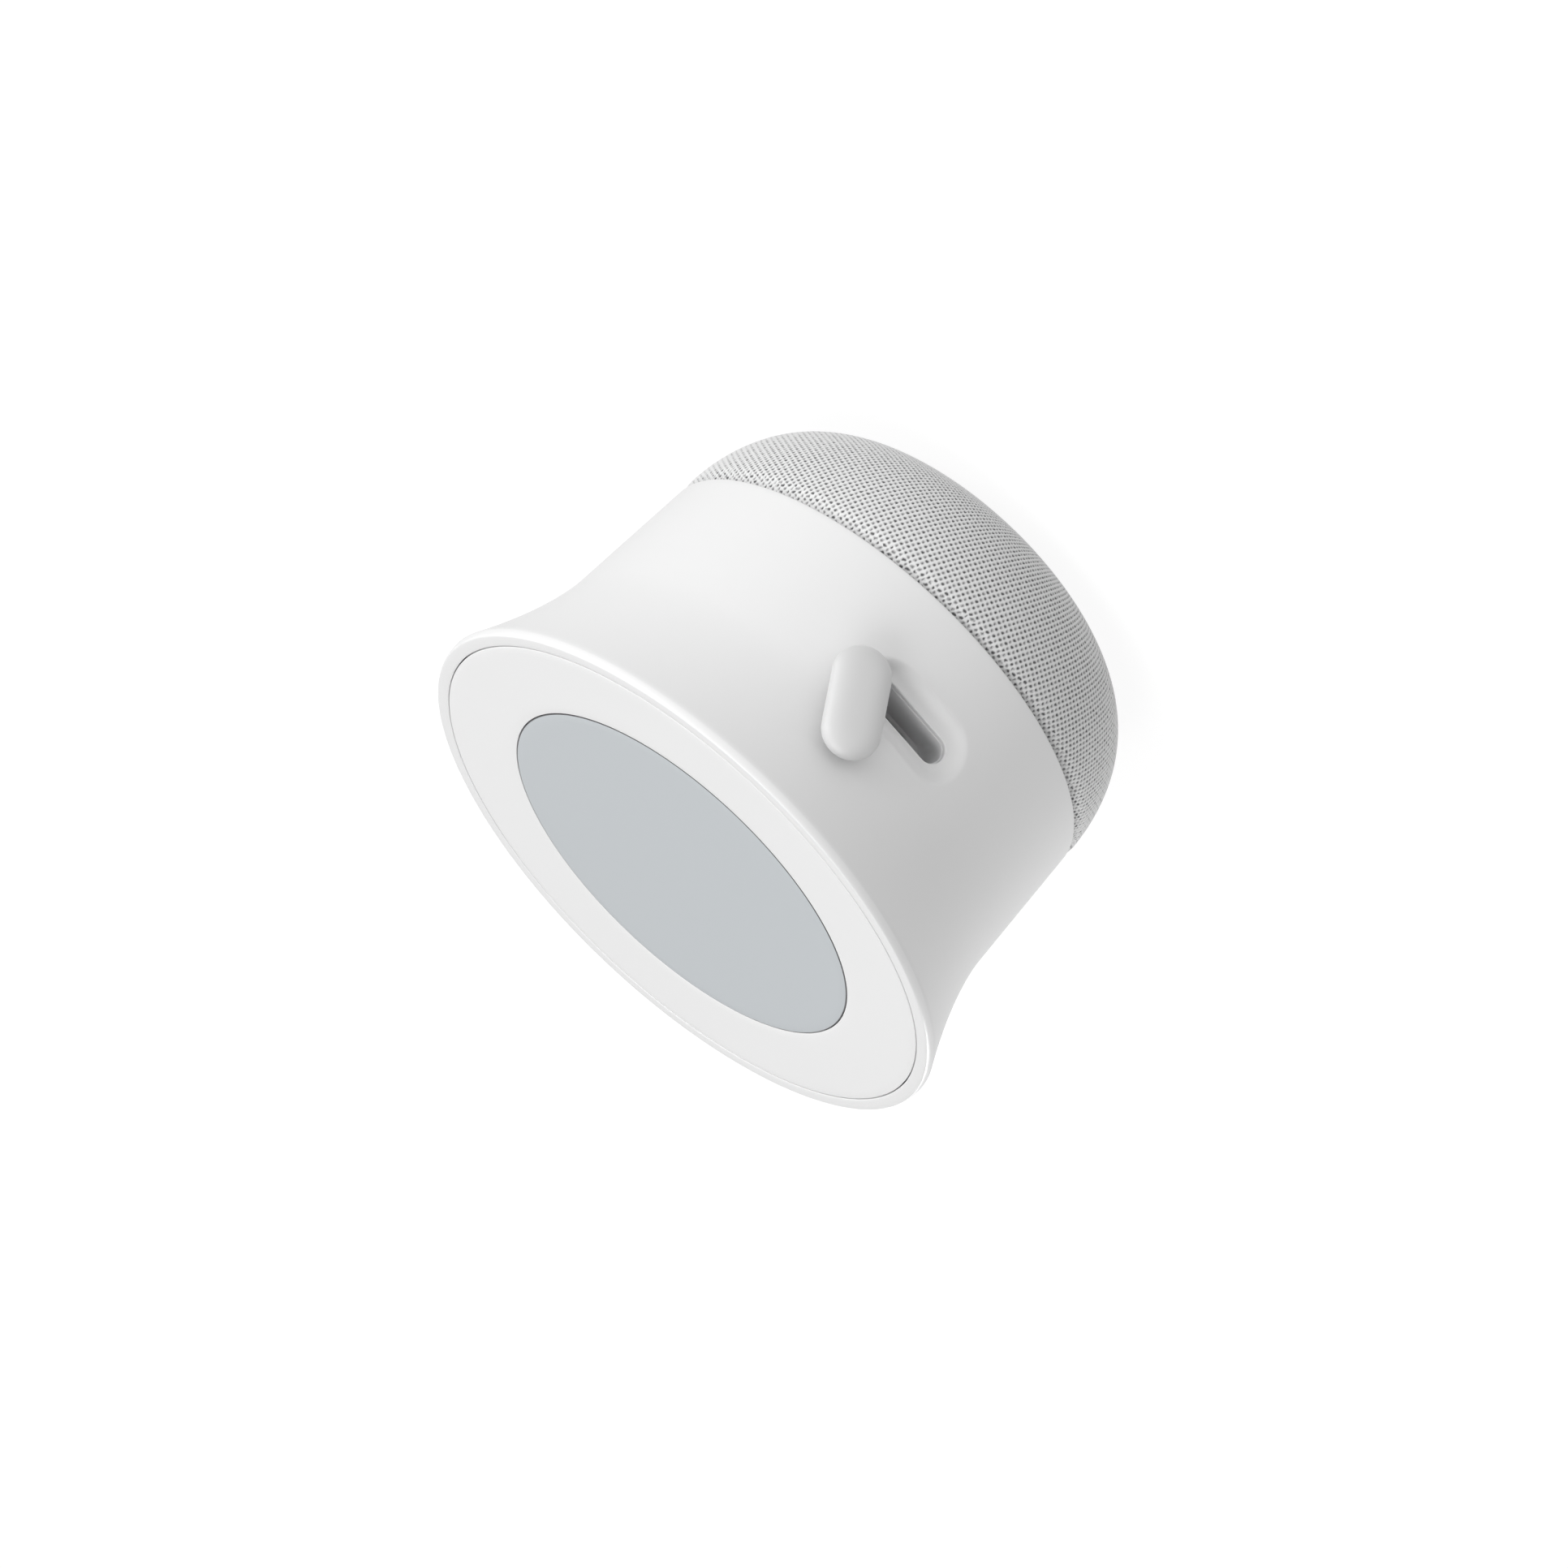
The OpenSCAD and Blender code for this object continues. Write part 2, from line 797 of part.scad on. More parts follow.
module speaker_baffle() {
    boss_top = baffle_z[1] + baffle_boss_h;
    color([0.2, 0.2, 0.21])
        difference() {
            union() {
                disc(box_r, baffle_z[0], baffle_z[1]);
                around(boss_angles, driver_screw_ring)
                    disc(baffle_boss_r, baffle_z[0], boss_top);
            }
            disc(mouth_r, baffle_z[0] - past, boss_top + past);
            around(boss_angles, driver_screw_ring)
                screw_hole(driver_screw, baffle_z[0] - past, baffle_z[1] + baffle_hole_h);
        }
}

module driver_gasket() {
    color("black")
        difference() {
            ring(mouth_r, gasket_r, flange_z[1], baffle_z[0]);
            around(boss_angles, driver_screw_ring)
                disc(gasket_hole_r, flange_z[0], baffle_z[1]);
        }
}

module driver_basket() {
    flange = [[flange_in_r, flange_z[0]], [flange_r, flange_z[0]], [flange_r, flange_z[1]]];
    turn = 360 / basket_windows;
    color("dimgray")
        difference() {
            rotate_extrude()
                polygon(concat(flange, basket_out, basket_in));
            around(boss_angles, driver_screw_ring)
                screw_hole(driver_screw, flange_z[0] - past, flange_z[1] + past);
            for (i = [0:basket_windows - 1])
                rotate((i + 0.5) * turn)
                    block(basket_window[0], basket_window[1]);
        }
}

module driver_screws() {
    color("gray")
        around(boss_angles, driver_screw_ring)
            translate([0, 0, flange_z[0]])
                screw(driver_screw);
}

module top_plate() {
    color("silver")
        ring(plate_r[0], plate_r[1], plate_z[0], plate_z[1]);
}

module magnet_ring() {
    color([0.2, 0.2, 0.22])
        ring(magnet_in_r, magnet_r, plate_z[1], magnet_top);
}

module magnet_yoke() {
    color("silver") {
        disc(plate_r[1], magnet_top, yoke_top);
        disc(pole_r, pole_bottom, magnet_top);
    }
}

module voice_coil() {
    color("peru")
        ring(coil_r[0], coil_r[1], coil_z[0], coil_z[1]);
}

module driver_cone() {
    neck_r = coil_r[1] + touch;
    rim_z = flange_z[0] - touch;
    back_z = rim_z + cone_skin;
    lip_r = cone_r + cone_lip;
    back_r = cone_r + lead_gap;
    color([0.1, 0.1, 0.11])
        rotate_extrude()
            polygon([[neck_r, cone_neck_z[0]], [cone_r, rim_z], [lip_r, rim_z],
                     [lip_r, back_z], [back_r, back_z], [neck_r, cone_neck_z[1]]]);
}

module dust_cap() {
    inner_r = cap_r - cap_skin;
    inner_rise = cap_rise - cap_skin;
    front = [for (i = [0:cap_steps])
        let (a = 90 * i / cap_steps) [cap_r * sin(a), cap_z - cap_rise * cos(a)]];
    back = [for (i = [cap_steps:-1:0])
        let (a = 90 * i / cap_steps) [inner_r * sin(a), cap_z - inner_rise * cos(a)]];
    color([0.1, 0.1, 0.11])
        rotate_extrude()
            polygon(concat(front, back));
}

// Half-round rubber roll between the cone and the basket
module driver_surround() {
    low = surround_z - surround_skin[0];
    out_r = surround_roll + surround_skin[0];
    out_drop = surround_roll + surround_skin[1];
    outer = [for (i = [0:surround_steps])
        let (a = 180 * i / surround_steps)
            [surround_middle + out_r * cos(a), low - out_drop * sin(a)]];
    inner = [for (i = [surround_steps:-1:0])
        let (a = 180 * i / surround_steps)
            [surround_middle + surround_roll * cos(a), surround_z - out_drop * sin(a)]];
    color([0.15, 0.15, 0.15])
        rotate_extrude()
            polygon(concat([[surround_r[1], surround_z], [surround_r[1], low]], outer,
                           [[surround_r[0], low], [surround_r[0], surround_z]], inner));
}

// Corrugated disc that centres the coil
module driver_spider() {
    width = spider_r[1] - spider_r[0];
    line = [for (i = [0:spider_steps])
        let (t = i / spider_steps)
            [spider_r[0] + width * t, spider_z + spider_wave * sin(360 * spider_waves * t)]];
    top = [for (i = [spider_steps:-1:0]) line[i] + [0, spider_skin]];
    color("khaki")
        rotate_extrude()
            polygon(concat(line, top));
}

// Two leads from the driver, up through the speaker box to the main board
module speaker_leads() {
    length = speaker_lead[1] - speaker_lead[0];
    rise = board_z[0] - connector_h - speaker_lead[2];
    color("black")
        for (y = speaker_lead_y)
            translate([0, y, speaker_lead[2]]) {
                translate([speaker_lead[0], 0, 0])
                    rotate([0, 90, 0])
                        cylinder(r = lead_r, h = length, $fn = lead_steps);
                translate([speaker_lead[1], 0, 0])
                    sphere(lead_r, $fn = lead_steps);
                translate([speaker_lead[1], 0, 0])
                    cylinder(r = lead_r, h = rise, $fn = lead_steps);
            }
}

module speaker_cage() {
    end = dome_angle(cage_end_r);
    outer = dome_line(cage_start, end, cage_inset[0]);
    inner = dome_line(end, cage_start, cage_inset[1]);
    color([0.5, 0.5, 0.51])
        difference() {
            union() {
                rotate_extrude()
                    polygon(concat(outer, inner));
                ring(cage_rim_r[0], cage_rim_r[1], cage_rim_z[0], cage_rim_z[1]);
                disc(cage_end_r, foot_t + cage_floor[0], foot_t + cage_floor[1]);
            }
            for (i = [0:cage_slots - 1])
                rotate(360 / cage_slots * i)
                    block([cage_slot_r[0], -cage_slot[0] / 2, cage_slot[1]],
                          [cage_slot_r[1], cage_slot[0] / 2, cage_slot[2]]);
            around(boss_angles, cage_screw_ring) {
                screw_hole(cage_screw, cage_pocket[1], cage_rim_z[1] + past);
                disc(cage_pocket[0], cage_pocket[1], cage_screw_z);
            }
        }
}

module cage_screws() {
    color("gray")
        around(boss_angles, cage_screw_ring)
            translate([0, 0, cage_screw_z])
                screw(cage_screw);
}

// Knitted skin over the cage, with its hem turned up behind the housing
module fabric_cover() {
    end = dome_angle(fabric_hole_r);
    hem = [[hem_r[0], hem_z[0]], [hem_r[0], hem_z[1]], [hem_r[1], hem_z[1]], [hem_r[1], waist_z]];
    color("lightgray")
        rotate_extrude($fn = round_steps)
            polygon(concat(dome_line(0, end, 0), dome_line(end, hem_angle, fabric_t), hem));
}

module foot_pad() {
    edge_r = foot_r - foot_edge;
    color([0.3, 0.3, 0.31])
        rotate_extrude()
            polygon([[0, 0], [edge_r, 0], [foot_r, foot_edge], [foot_r, foot_t], [0, foot_t]]);
}

module foot_tape() {
    color("gray")
        disc(foot_r - foot_tape_inset, foot_t, foot_t + foot_tape_t);
}

main_shell();
front_bezel();
bezel_tape();
screen_lens();
lens_tape();
touch_film();
display_panel();
backlight();
display_backplate();
display_screws();
display_flex();
microphone_board();
microphones();
chassis();
chassis_screws();
battery_cell();
battery_pad();
battery_leads();
main_board();
board_screws();
board_connectors();
board_chips();
shield_can();
heat_spreader();
wifi_antenna();
port_liner();
port_gasket();
port_board();
port_board_screws();
port_flex();
usb_shell();
usb_tongue();
port_cover();
cover_tether();
speaker_box();
speaker_baffle();
driver_gasket();
driver_basket();
driver_screws();
magnet_ring();
top_plate();
magnet_yoke();
voice_coil();
driver_cone();
dust_cap();
driver_surround();
driver_spider();
speaker_leads();
speaker_cage();
cage_screws();
fabric_cover();
foot_pad();
foot_tape();
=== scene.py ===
# %% [markdown]
# # A round smart display, finished in Blender
# The display comes in as a packed engineering model with every part in place.
# This lesson keeps that model as a fixed frame, and dresses it: the parts that
# are seen get fine meshes made in code, and every part gets its own finish.
# All lengths are metres, so a millimetre is written as a number times MM.

# %% Load the frame
import json
import math

import bmesh
import bpy
import numpy as np
from mathutils import Matrix, Vector


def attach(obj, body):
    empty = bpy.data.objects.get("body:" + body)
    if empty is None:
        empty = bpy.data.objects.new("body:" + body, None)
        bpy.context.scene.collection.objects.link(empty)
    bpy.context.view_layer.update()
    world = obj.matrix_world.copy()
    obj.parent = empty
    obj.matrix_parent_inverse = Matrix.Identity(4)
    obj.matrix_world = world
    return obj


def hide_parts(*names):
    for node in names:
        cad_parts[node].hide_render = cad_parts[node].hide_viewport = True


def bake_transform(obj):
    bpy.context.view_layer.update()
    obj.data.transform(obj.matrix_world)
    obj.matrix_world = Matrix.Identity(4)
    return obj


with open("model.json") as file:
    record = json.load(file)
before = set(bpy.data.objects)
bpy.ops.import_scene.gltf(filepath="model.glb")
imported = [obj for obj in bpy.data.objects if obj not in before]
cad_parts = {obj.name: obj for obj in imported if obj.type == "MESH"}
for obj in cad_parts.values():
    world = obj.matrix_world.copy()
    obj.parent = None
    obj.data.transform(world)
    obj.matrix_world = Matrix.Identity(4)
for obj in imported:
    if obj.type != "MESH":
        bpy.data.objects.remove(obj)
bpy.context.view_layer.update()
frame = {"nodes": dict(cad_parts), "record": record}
nodes = frame["nodes"]
MM = 0.001

# %% [markdown]
# ## Helpers for making meshes
# Nearly every part of this display is round, so most meshes are grids: rows of
# points, each row the same length, joined by four-sided faces. A revolve is a
# grid whose rows are circles. A pill sweep is a grid whose rows are rings with
# two straight sides and two round ends. Writing the grid once keeps each piece
# short, and the faces follow the shape, which shades better than a cut mesh.

# %% Mesh helpers
MERGE_WITHIN = 0.002
finishes = {}


def link_object(name, data):
    """A new object that holds the data and is part of the scene."""
    made = bpy.data.objects.new(name, data)
    bpy.context.scene.collection.objects.link(made)
    return made


def add_mesh(name, points, faces, slot, body="housing", sharp=None, look=None):
    """A smooth-shaded object that rides on a body, where one is given.

    Edges sharper than the angle called sharp, in degrees, are shaded as sharp ones.
    The piece gets its slot's finish, unless look names another one.
    """
    mesh = bpy.data.meshes.new(name)
    mesh.from_pydata([tuple(p) for p in points], [], faces)
    mesh.validate()
    piece = link_object(name, mesh)
    tidy = bmesh.new()
    tidy.from_mesh(mesh)
    bmesh.ops.remove_doubles(tidy, verts=tidy.verts, dist=MERGE_WITHIN * MM)
    bmesh.ops.recalc_face_normals(tidy, faces=tidy.faces)
    tidy.to_mesh(mesh)
    tidy.free()
    mesh.polygons.foreach_set("use_smooth", [True] * len(mesh.polygons))
    if body:
        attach(piece, body)
    if sharp:
        mesh.set_sharp_from_angle(angle=math.radians(sharp))
    mesh.materials.append(finishes[look or slot])
    print(f"{name}: {len(mesh.vertices)} points, {len(mesh.polygons)} faces")
    return piece


def grid_faces(rows, columns, close_rows=False, skip=()):
    """Faces of a grid whose rows close into rings; skip is a set of (row, column)."""
    faces = []
    for i in range(rows if close_rows else rows - 1):
        for j in range(columns):
            if (i, j) not in skip:
                a, b = i * columns, ((i + 1) % rows) * columns
                k = (j + 1) % columns
                faces.append((a + j, a + k, b + k, b + j))
    return faces


def revolve(section, steps, start=0.0):
    """Points of a section, given as (radius, height) in mm, turned about the upright axis."""
    section = np.array(section, float) * MM
    angle = start + np.arange(steps) * 2 * math.pi / steps
    r, z = section[:, 0, None], section[:, 1, None]
    return np.stack([r * np.cos(angle), r * np.sin(angle), z + 0 * angle], -1).reshape(-1, 3)


def fillet(centre, radius, start, end, steps=5):
    """Points of an arc in a section, from one angle to another in degrees."""
    angles = np.radians(np.linspace(start, end, steps + 1))
    return [(centre[0] + radius * math.cos(a), centre[1] + radius * math.sin(a)) for a in angles]


# %% [markdown]
# ## The sizes that the pieces share
# These repeat the engineering model's own sizes, in millimetres, so that each
# fine mesh lies where its plain part did. The radius of the housing is a plain
# taper, with a power curve that opens it out like a trumpet near the screen.

# %% Shared sizes
HEIGHT, FACE_R, RIM_DROP = 75.0, 51.9, 1.5
WAIST_R, WAIST_Z = 43.4, 26.85
BEZEL_R, BEZEL_GAP, LENS_R, LENS_GAP = 49.6, 0.2, 35.0, 0.15
PORT_Z, SLOT_A, SLOT_R, RECESS_Y = 45.0, 5.95, 2.4, 42.3
COVER_PIVOT, COVER_AXIS, COVER_OPEN = (10.7, -46.3, 40.46), (-0.029, 0.975, 0.218), 61.8
TAPER, FLARE, FLARE_TALL, FLARE_POWER = 0.0667, 6.45, 24, 1.65


def shell_r(z):
    """Radius of the housing's outside at a height."""
    flare = max(0.0, 1 - (HEIGHT - z) / FLARE_TALL) ** FLARE_POWER
    return WAIST_R + TAPER * (z - WAIST_Z) + FLARE * flare


for place_name, z in (("waist", WAIST_Z), ("port", PORT_Z), ("rim", HEIGHT - RIM_DROP)):
    print(f"housing radius at the {place_name}: {shell_r(z):.2f} mm")

# %% [markdown]
# ## The camera
# The display stands on its foot, and the camera looks down at it from the port
# side. The camera is far away with a long lens, so the display shows almost no
# perspective, and it is rolled about its line of sight, so that the display
# seems to float and tip forward, as small products are often shown.

# %% Camera
CAMERA_PLACE = (0.61117, -2.67723, 1.16362)
CAMERA_LOOK, CAMERA_RIGHT = (-0.20691, 0.90343, -0.37550), (-0.64567, -0.41446, -0.64136)
camera_data = bpy.data.cameras.new("camera")
camera_data.sensor_width = 36
camera_data.lens = 416.55
camera_data.clip_end = 50
camera = link_object("camera", camera_data)
look = Vector(CAMERA_LOOK).normalized()
right = Vector(CAMERA_RIGHT)
right = (right - look * right.dot(look)).normalized()
up = right.cross(look)
turn = Matrix((right, up, -look)).transposed()
camera.matrix_world = Matrix.Translation(CAMERA_PLACE) @ turn.to_4x4()
bpy.context.scene.camera = camera
bpy.context.scene.view_settings.view_transform = "Standard"
print("the camera is", round((camera.location - Vector((0, 0, 0.04))).length, 2), "m away")

# %% [markdown]
# ## Helpers for making shader nodes
# Light and finishes are both made of nodes. These helpers add a node with its
# values, link sockets and do arithmetic on them, so that each recipe below
# reads as a short list.

# %% Node helpers
FLOAT, COLOUR, VECTOR = "NodeSocketFloat", "NodeSocketColor", "NodeSocketVector"


def set_values(node, **values):
    """Sets a node's own settings or its sockets by name, with _ for a space."""
    for key, value in values.items():
        if hasattr(node, key):
            setattr(node, key, value)
        else:
            node.inputs[key.replace("_", " ")].default_value = value


def put(tree, kind, **values):
    """Adds a node and sets its values."""
    node = tree.nodes.new(kind)
    set_values(node, **values)
    return node


def join(tree, *pairs):
    """Links (output, input) pairs."""
    for source, target in pairs:
        tree.links.new(source, target)


def maths(tree, operation, a, b=None):
    """A Math node on one or two sockets or numbers; returns its result."""
    node = tree.nodes.new("ShaderNodeMath")
    node.operation = operation
    for socket, value in zip(node.inputs, (a, b)):
        if value is None:
            continue
        if isinstance(value, (int, float)):
            socket.default_value = value
        else:
            tree.links.new(value, socket)
    return node.outputs[0]


def new_material(name, **surface):
    """A material, its node tree and its surface, with the surface's values set."""
    material = bpy.data.materials.new(name)
    material.use_nodes = True
    principled = material.node_tree.nodes["Principled BSDF"]
    set_values(principled, **surface)
    return material, material.node_tree, principled


def new_group(name, inputs, outputs):
    """An empty shader group; inputs are (name, kind, value) and outputs (name, kind)."""
    group = bpy.data.node_groups.new(name, "ShaderNodeTree")
    for label, kind, value in inputs:
        group.interface.new_socket(label, in_out="INPUT", socket_type=kind).default_value = value
    for label, kind in outputs:
        group.interface.new_socket(label, in_out="OUTPUT", socket_type=kind)
    return group, group.nodes.new("NodeGroupInput"), group.nodes.new("NodeGroupOutput")


print("node helpers are ready")

# %% [markdown]
# ## The floor and the light
# A white product on white is lit by a light tent: bright cloth on all sides that
# is stronger on one side, which gives the slow change from light to dark that
# shows a round form. Here the sky's colour changes with direction, from bright
# on one side to dim on the other. Three soft lamps shape the smaller forms: a
# key lamp at the bright side, a wide lamp above, and a low lamp behind that
# lights the rim. The floor gives some light of its own, as a light table does, so
# that shadows on it stay faint. It is clear from below, so that the foot shows.

# %% Floor
FLOOR_R, FLOOR_Z, FLOOR_RINGS, FLOOR_STEPS = 9.0, -0.2, 8, 64
rings = [(FLOOR_R * (k / FLOOR_RINGS) ** 2 / MM, FLOOR_Z) for k in range(1, FLOOR_RINGS + 1)]
floor_faces = [face[::-1] for face in grid_faces(FLOOR_RINGS, FLOOR_STEPS)]
floor_faces.append(tuple(range(FLOOR_STEPS)))
floor_mesh = bpy.data.meshes.new("floor")
floor_mesh.from_pydata([tuple(p) for p in revolve(rings, FLOOR_STEPS)], [], floor_faces)
link_object("floor", floor_mesh)
table, table_tree, table_surface = new_material(
    "light_table", Base_Color=(0.16, 0.16, 0.16, 1), Roughness=0.9, Specular_IOR_Level=0.1,
    Emission_Color=(1, 1, 1, 1))
floor_mesh.materials.append(table)
table_ray = put(table_tree, "ShaderNodeLightPath")
table_glow = put(table_tree, "ShaderNodeMapRange", To_Min=0.64, To_Max=0.88)
table_side = put(table_tree, "ShaderNodeNewGeometry")
table_clear = put(table_tree, "ShaderNodeBsdfTransparent")
table_mix = put(table_tree, "ShaderNodeMixShader")
join(
    table_tree,
    (table_ray.outputs["Is Camera Ray"], table_glow.inputs["Value"]),
    (table_glow.outputs["Result"], table_surface.inputs["Emission Strength"]),
    (table_side.outputs["Backfacing"], table_mix.inputs["Fac"]),
    (table_surface.outputs["BSDF"], table_mix.inputs[1]),
    (table_clear.outputs["BSDF"], table_mix.inputs[2]),
    (table_mix.outputs["Shader"], table_tree.nodes["Material Output"].inputs["Surface"]),
)
print("floor is", 2 * FLOOR_R, "m across")

# %% Sky
SKY_SIDE = Vector((1.0, 0.0, 0.3)).normalized()
SKY_DIM, SKY_BRIGHT = 0.05, 0.70
world = bpy.data.worlds.new("tent")
bpy.context.scene.world = world
world.use_nodes = True
sky = world.node_tree
sky_light = sky.nodes["Background"]
sky_light.inputs["Color"].default_value = (1, 1, 1, 1)
direction = put(sky, "ShaderNodeTexCoord")
toward = put(sky, "ShaderNodeVectorMath", operation="DOT_PRODUCT")
toward.inputs[1].default_value = SKY_SIDE
level = put(sky, "ShaderNodeMapRange", interpolation_type="SMOOTHSTEP", From_Min=-1.0, From_Max=1.0,
            To_Min=SKY_DIM, To_Max=SKY_BRIGHT)
join(
    sky,
    (direction.outputs["Generated"], toward.inputs[0]),
    (toward.outputs["Value"], level.inputs["Value"]),
    (level.outputs["Result"], sky_light.inputs["Strength"]),
)
print("the sky goes from", SKY_DIM, "to", SKY_BRIGHT)

# %% Lamps
LAMPS = {
    "key_lamp": dict(place=(1.25, -0.35, 0.5), aim=(0, 0, 0.04), size=0.7, power=9.3),
    "top_lamp": dict(place=(0.1, -0.8, 2.35), aim=(0, 0, 0), size=2.0, power=43),
    "rim_lamp": dict(place=(-1.65, 0.95, 0.02), aim=(0, 0, 0.04), size=0.9, power=40),
}


def soft_lamp(name, place, aim, size, power):
    """A square area lamp that faces a point."""
    data = bpy.data.lights.new(name, "AREA")
    data.shape = "SQUARE"
    data.size = size
    data.energy = power
    lamp = link_object(name, data)
    lamp.location = place
    lamp.rotation_mode = "QUATERNION"
    lamp.rotation_quaternion = (Vector(aim) - Vector(place)).to_track_quat("-Z", "Y")
    lamp.visible_camera = False


for lamp_name, values in LAMPS.items():
    soft_lamp(lamp_name, **values)
print(len(LAMPS), "lamps:", *LAMPS)

# %% [markdown]
# ## Effects that several finishes share
# An effect that more than one finish uses is a node group with named sockets,
# made once. Each finish then places the group with its own values. These are
# the groups: a fine grain for moulded surfaces, which also changes the gloss in
# wide soft patches, a drift that changes a colour a little from place to place,
# wear that lightens raised edges, and brushed lines for metal.

# %% Group: moulded grain
grain, g_in, g_out = new_group(
    "moulded_grain",
    [("Scale", FLOAT, 4000.0), ("Depth", FLOAT, 0.2), ("Roughness", FLOAT, 0.4), ("Variation", FLOAT, 0.05)],
    [("Roughness", FLOAT), ("Normal", VECTOR)],
)
g_place = put(grain, "ShaderNodeTexCoord")
g_fine = put(grain, "ShaderNodeTexNoise", Detail=3.0, Roughness=0.6)
g_wide = put(grain, "ShaderNodeTexNoise", Scale=45.0, Detail=2.0)
g_bump = put(grain, "ShaderNodeBump", Distance=0.00003)
g_swing = maths(grain, "SUBTRACT", g_wide.outputs["Fac"], 0.5)
g_shift = maths(grain, "MULTIPLY", g_swing, g_in.outputs["Variation"])
join(
    grain,
    (g_place.outputs["Object"], g_fine.inputs["Vector"]),
    (g_place.outputs["Object"], g_wide.inputs["Vector"]),
    (g_in.outputs["Scale"], g_fine.inputs["Scale"]),
    (g_in.outputs["Depth"], g_bump.inputs["Strength"]),
    (g_fine.outputs["Fac"], g_bump.inputs["Height"]),
    (g_bump.outputs["Normal"], g_out.inputs["Normal"]),
    (maths(grain, "ADD", g_in.outputs["Roughness"], g_shift), g_out.inputs["Roughness"]),
)
print("group", grain.name)

# %% Group: colour drift
drift, d_in, d_out = new_group(
    "colour_drift",
    [("Colour", COLOUR, (0.8, 0.8, 0.8, 1)), ("Amount", FLOAT, 0.03), ("Scale", FLOAT, 60.0)],
    [("Colour", COLOUR)],
)
d_place = put(drift, "ShaderNodeTexCoord")
d_noise = put(drift, "ShaderNodeTexNoise", Detail=4.0, Roughness=0.55)
d_value = put(drift, "ShaderNodeHueSaturation")
d_swing = maths(drift, "SUBTRACT", d_noise.outputs["Fac"], 0.5)
d_level = maths(drift, "MULTIPLY", d_swing, d_in.outputs["Amount"])
join(
    drift,
    (d_place.outputs["Object"], d_noise.inputs["Vector"]),
    (d_in.outputs["Scale"], d_noise.inputs["Scale"]),
    (d_in.outputs["Colour"], d_value.inputs["Color"]),
    (maths(drift, "ADD", d_level, 1.0), d_value.inputs["Value"]),
    (d_value.outputs["Color"], d_out.inputs["Colour"]),
)
print("group", drift.name)

# %% Group: edge wear
wear, w_in, w_out = new_group(
    "edge_wear",
    [("Colour", COLOUR, (0.8, 0.8, 0.8, 1)), ("Worn", COLOUR, (0.9, 0.9, 0.9, 1)), ("Amount", FLOAT, 0.3)],
    [("Colour", COLOUR)],
)
w_shape = put(wear, "ShaderNodeNewGeometry")
w_place = put(wear, "ShaderNodeTexCoord")
w_noise = put(wear, "ShaderNodeTexNoise", Scale=700.0, Detail=3.0)
w_edge = put(wear, "ShaderNodeMapRange", From_Min=0.53, From_Max=0.62)
w_mix = put(wear, "ShaderNodeMix", data_type="RGBA")
w_patchy = maths(wear, "MULTIPLY", w_edge.outputs["Result"], w_noise.outputs["Fac"])
w_mask = maths(wear, "MULTIPLY", w_patchy, w_in.outputs["Amount"])
join(
    wear,
    (w_place.outputs["Object"], w_noise.inputs["Vector"]),
    (w_shape.outputs["Pointiness"], w_edge.inputs["Value"]),
    (w_mask, w_mix.inputs["Factor"]),
    (w_in.outputs["Colour"], w_mix.inputs["A"]),
    (w_in.outputs["Worn"], w_mix.inputs["B"]),
    (w_mix.outputs["Result"], w_out.inputs["Colour"]),
)
print("group", wear.name)

# %% Group: brushed lines
brushed, b_in, b_out = new_group(
    "brushed_lines",
    [("Stretch", VECTOR, (1.0, 1.0, 1.0)), ("Depth", FLOAT, 0.2), ("Roughness", FLOAT, 0.35)],
    [("Roughness", FLOAT), ("Normal", VECTOR)],
)
b_place = put(brushed, "ShaderNodeTexCoord")
b_map = put(brushed, "ShaderNodeVectorMath", operation="MULTIPLY")
b_noise = put(brushed, "ShaderNodeTexNoise", Scale=1500.0, Detail=4.0)
b_bump = put(brushed, "ShaderNodeBump", Distance=0.00002)
b_level = maths(brushed, "MULTIPLY", maths(brushed, "SUBTRACT", b_noise.outputs["Fac"], 0.5), 0.3)
join(
    brushed,
    (b_place.outputs["Object"], b_map.inputs[0]),
    (b_in.outputs["Stretch"], b_map.inputs[1]),
    (b_map.outputs["Vector"], b_noise.inputs["Vector"]),
    (b_in.outputs["Depth"], b_bump.inputs["Strength"]),
    (b_noise.outputs["Fac"], b_bump.inputs["Height"]),
    (b_bump.outputs["Normal"], b_out.inputs["Normal"]),
    (maths(brushed, "ADD", b_in.outputs["Roughness"], b_level), b_out.inputs["Roughness"]),
)
print("group", brushed.name)

# %% [markdown]
# ## Finishes
# Each material slot of the engineering model gets one finish. The helper below
# makes a surface and feeds it from the shared groups: the colour goes through
# the drift and, where it is given, the wear, and the roughness and the normal
# come from the grain. What is the same all over, such as the sheen or the index
# of refraction, is set straight on the surface.

# %% Finish helper
def finish(name, colour, roughness, grain_scale, depth, variation=0.06, amount=0.04,
           drift_scale=60.0, worn=None, wear_amount=0.3, **surface):
    """A material of one base colour with grain, drift and, where worn is given, edge wear."""
    material, tree, principled = new_material(name, **surface)
    grained = put(tree, "ShaderNodeGroup", node_tree=grain, Scale=grain_scale, Depth=depth,
                  Roughness=roughness, Variation=variation)
    drifted = put(tree, "ShaderNodeGroup", node_tree=drift, Colour=(*colour, 1), Amount=amount,
                  Scale=drift_scale)
    last = drifted
    if worn:
        last = put(tree, "ShaderNodeGroup", node_tree=wear, Worn=(*worn, 1), Amount=wear_amount)
        join(tree, (drifted.outputs["Colour"], last.inputs["Colour"]))
    join(
        tree,
        (last.outputs["Colour"], principled.inputs["Base Color"]),
        (grained.outputs["Roughness"], principled.inputs["Roughness"]),
        (grained.outputs["Normal"], principled.inputs["Normal"]),
    )
    finishes[name] = material
    return material


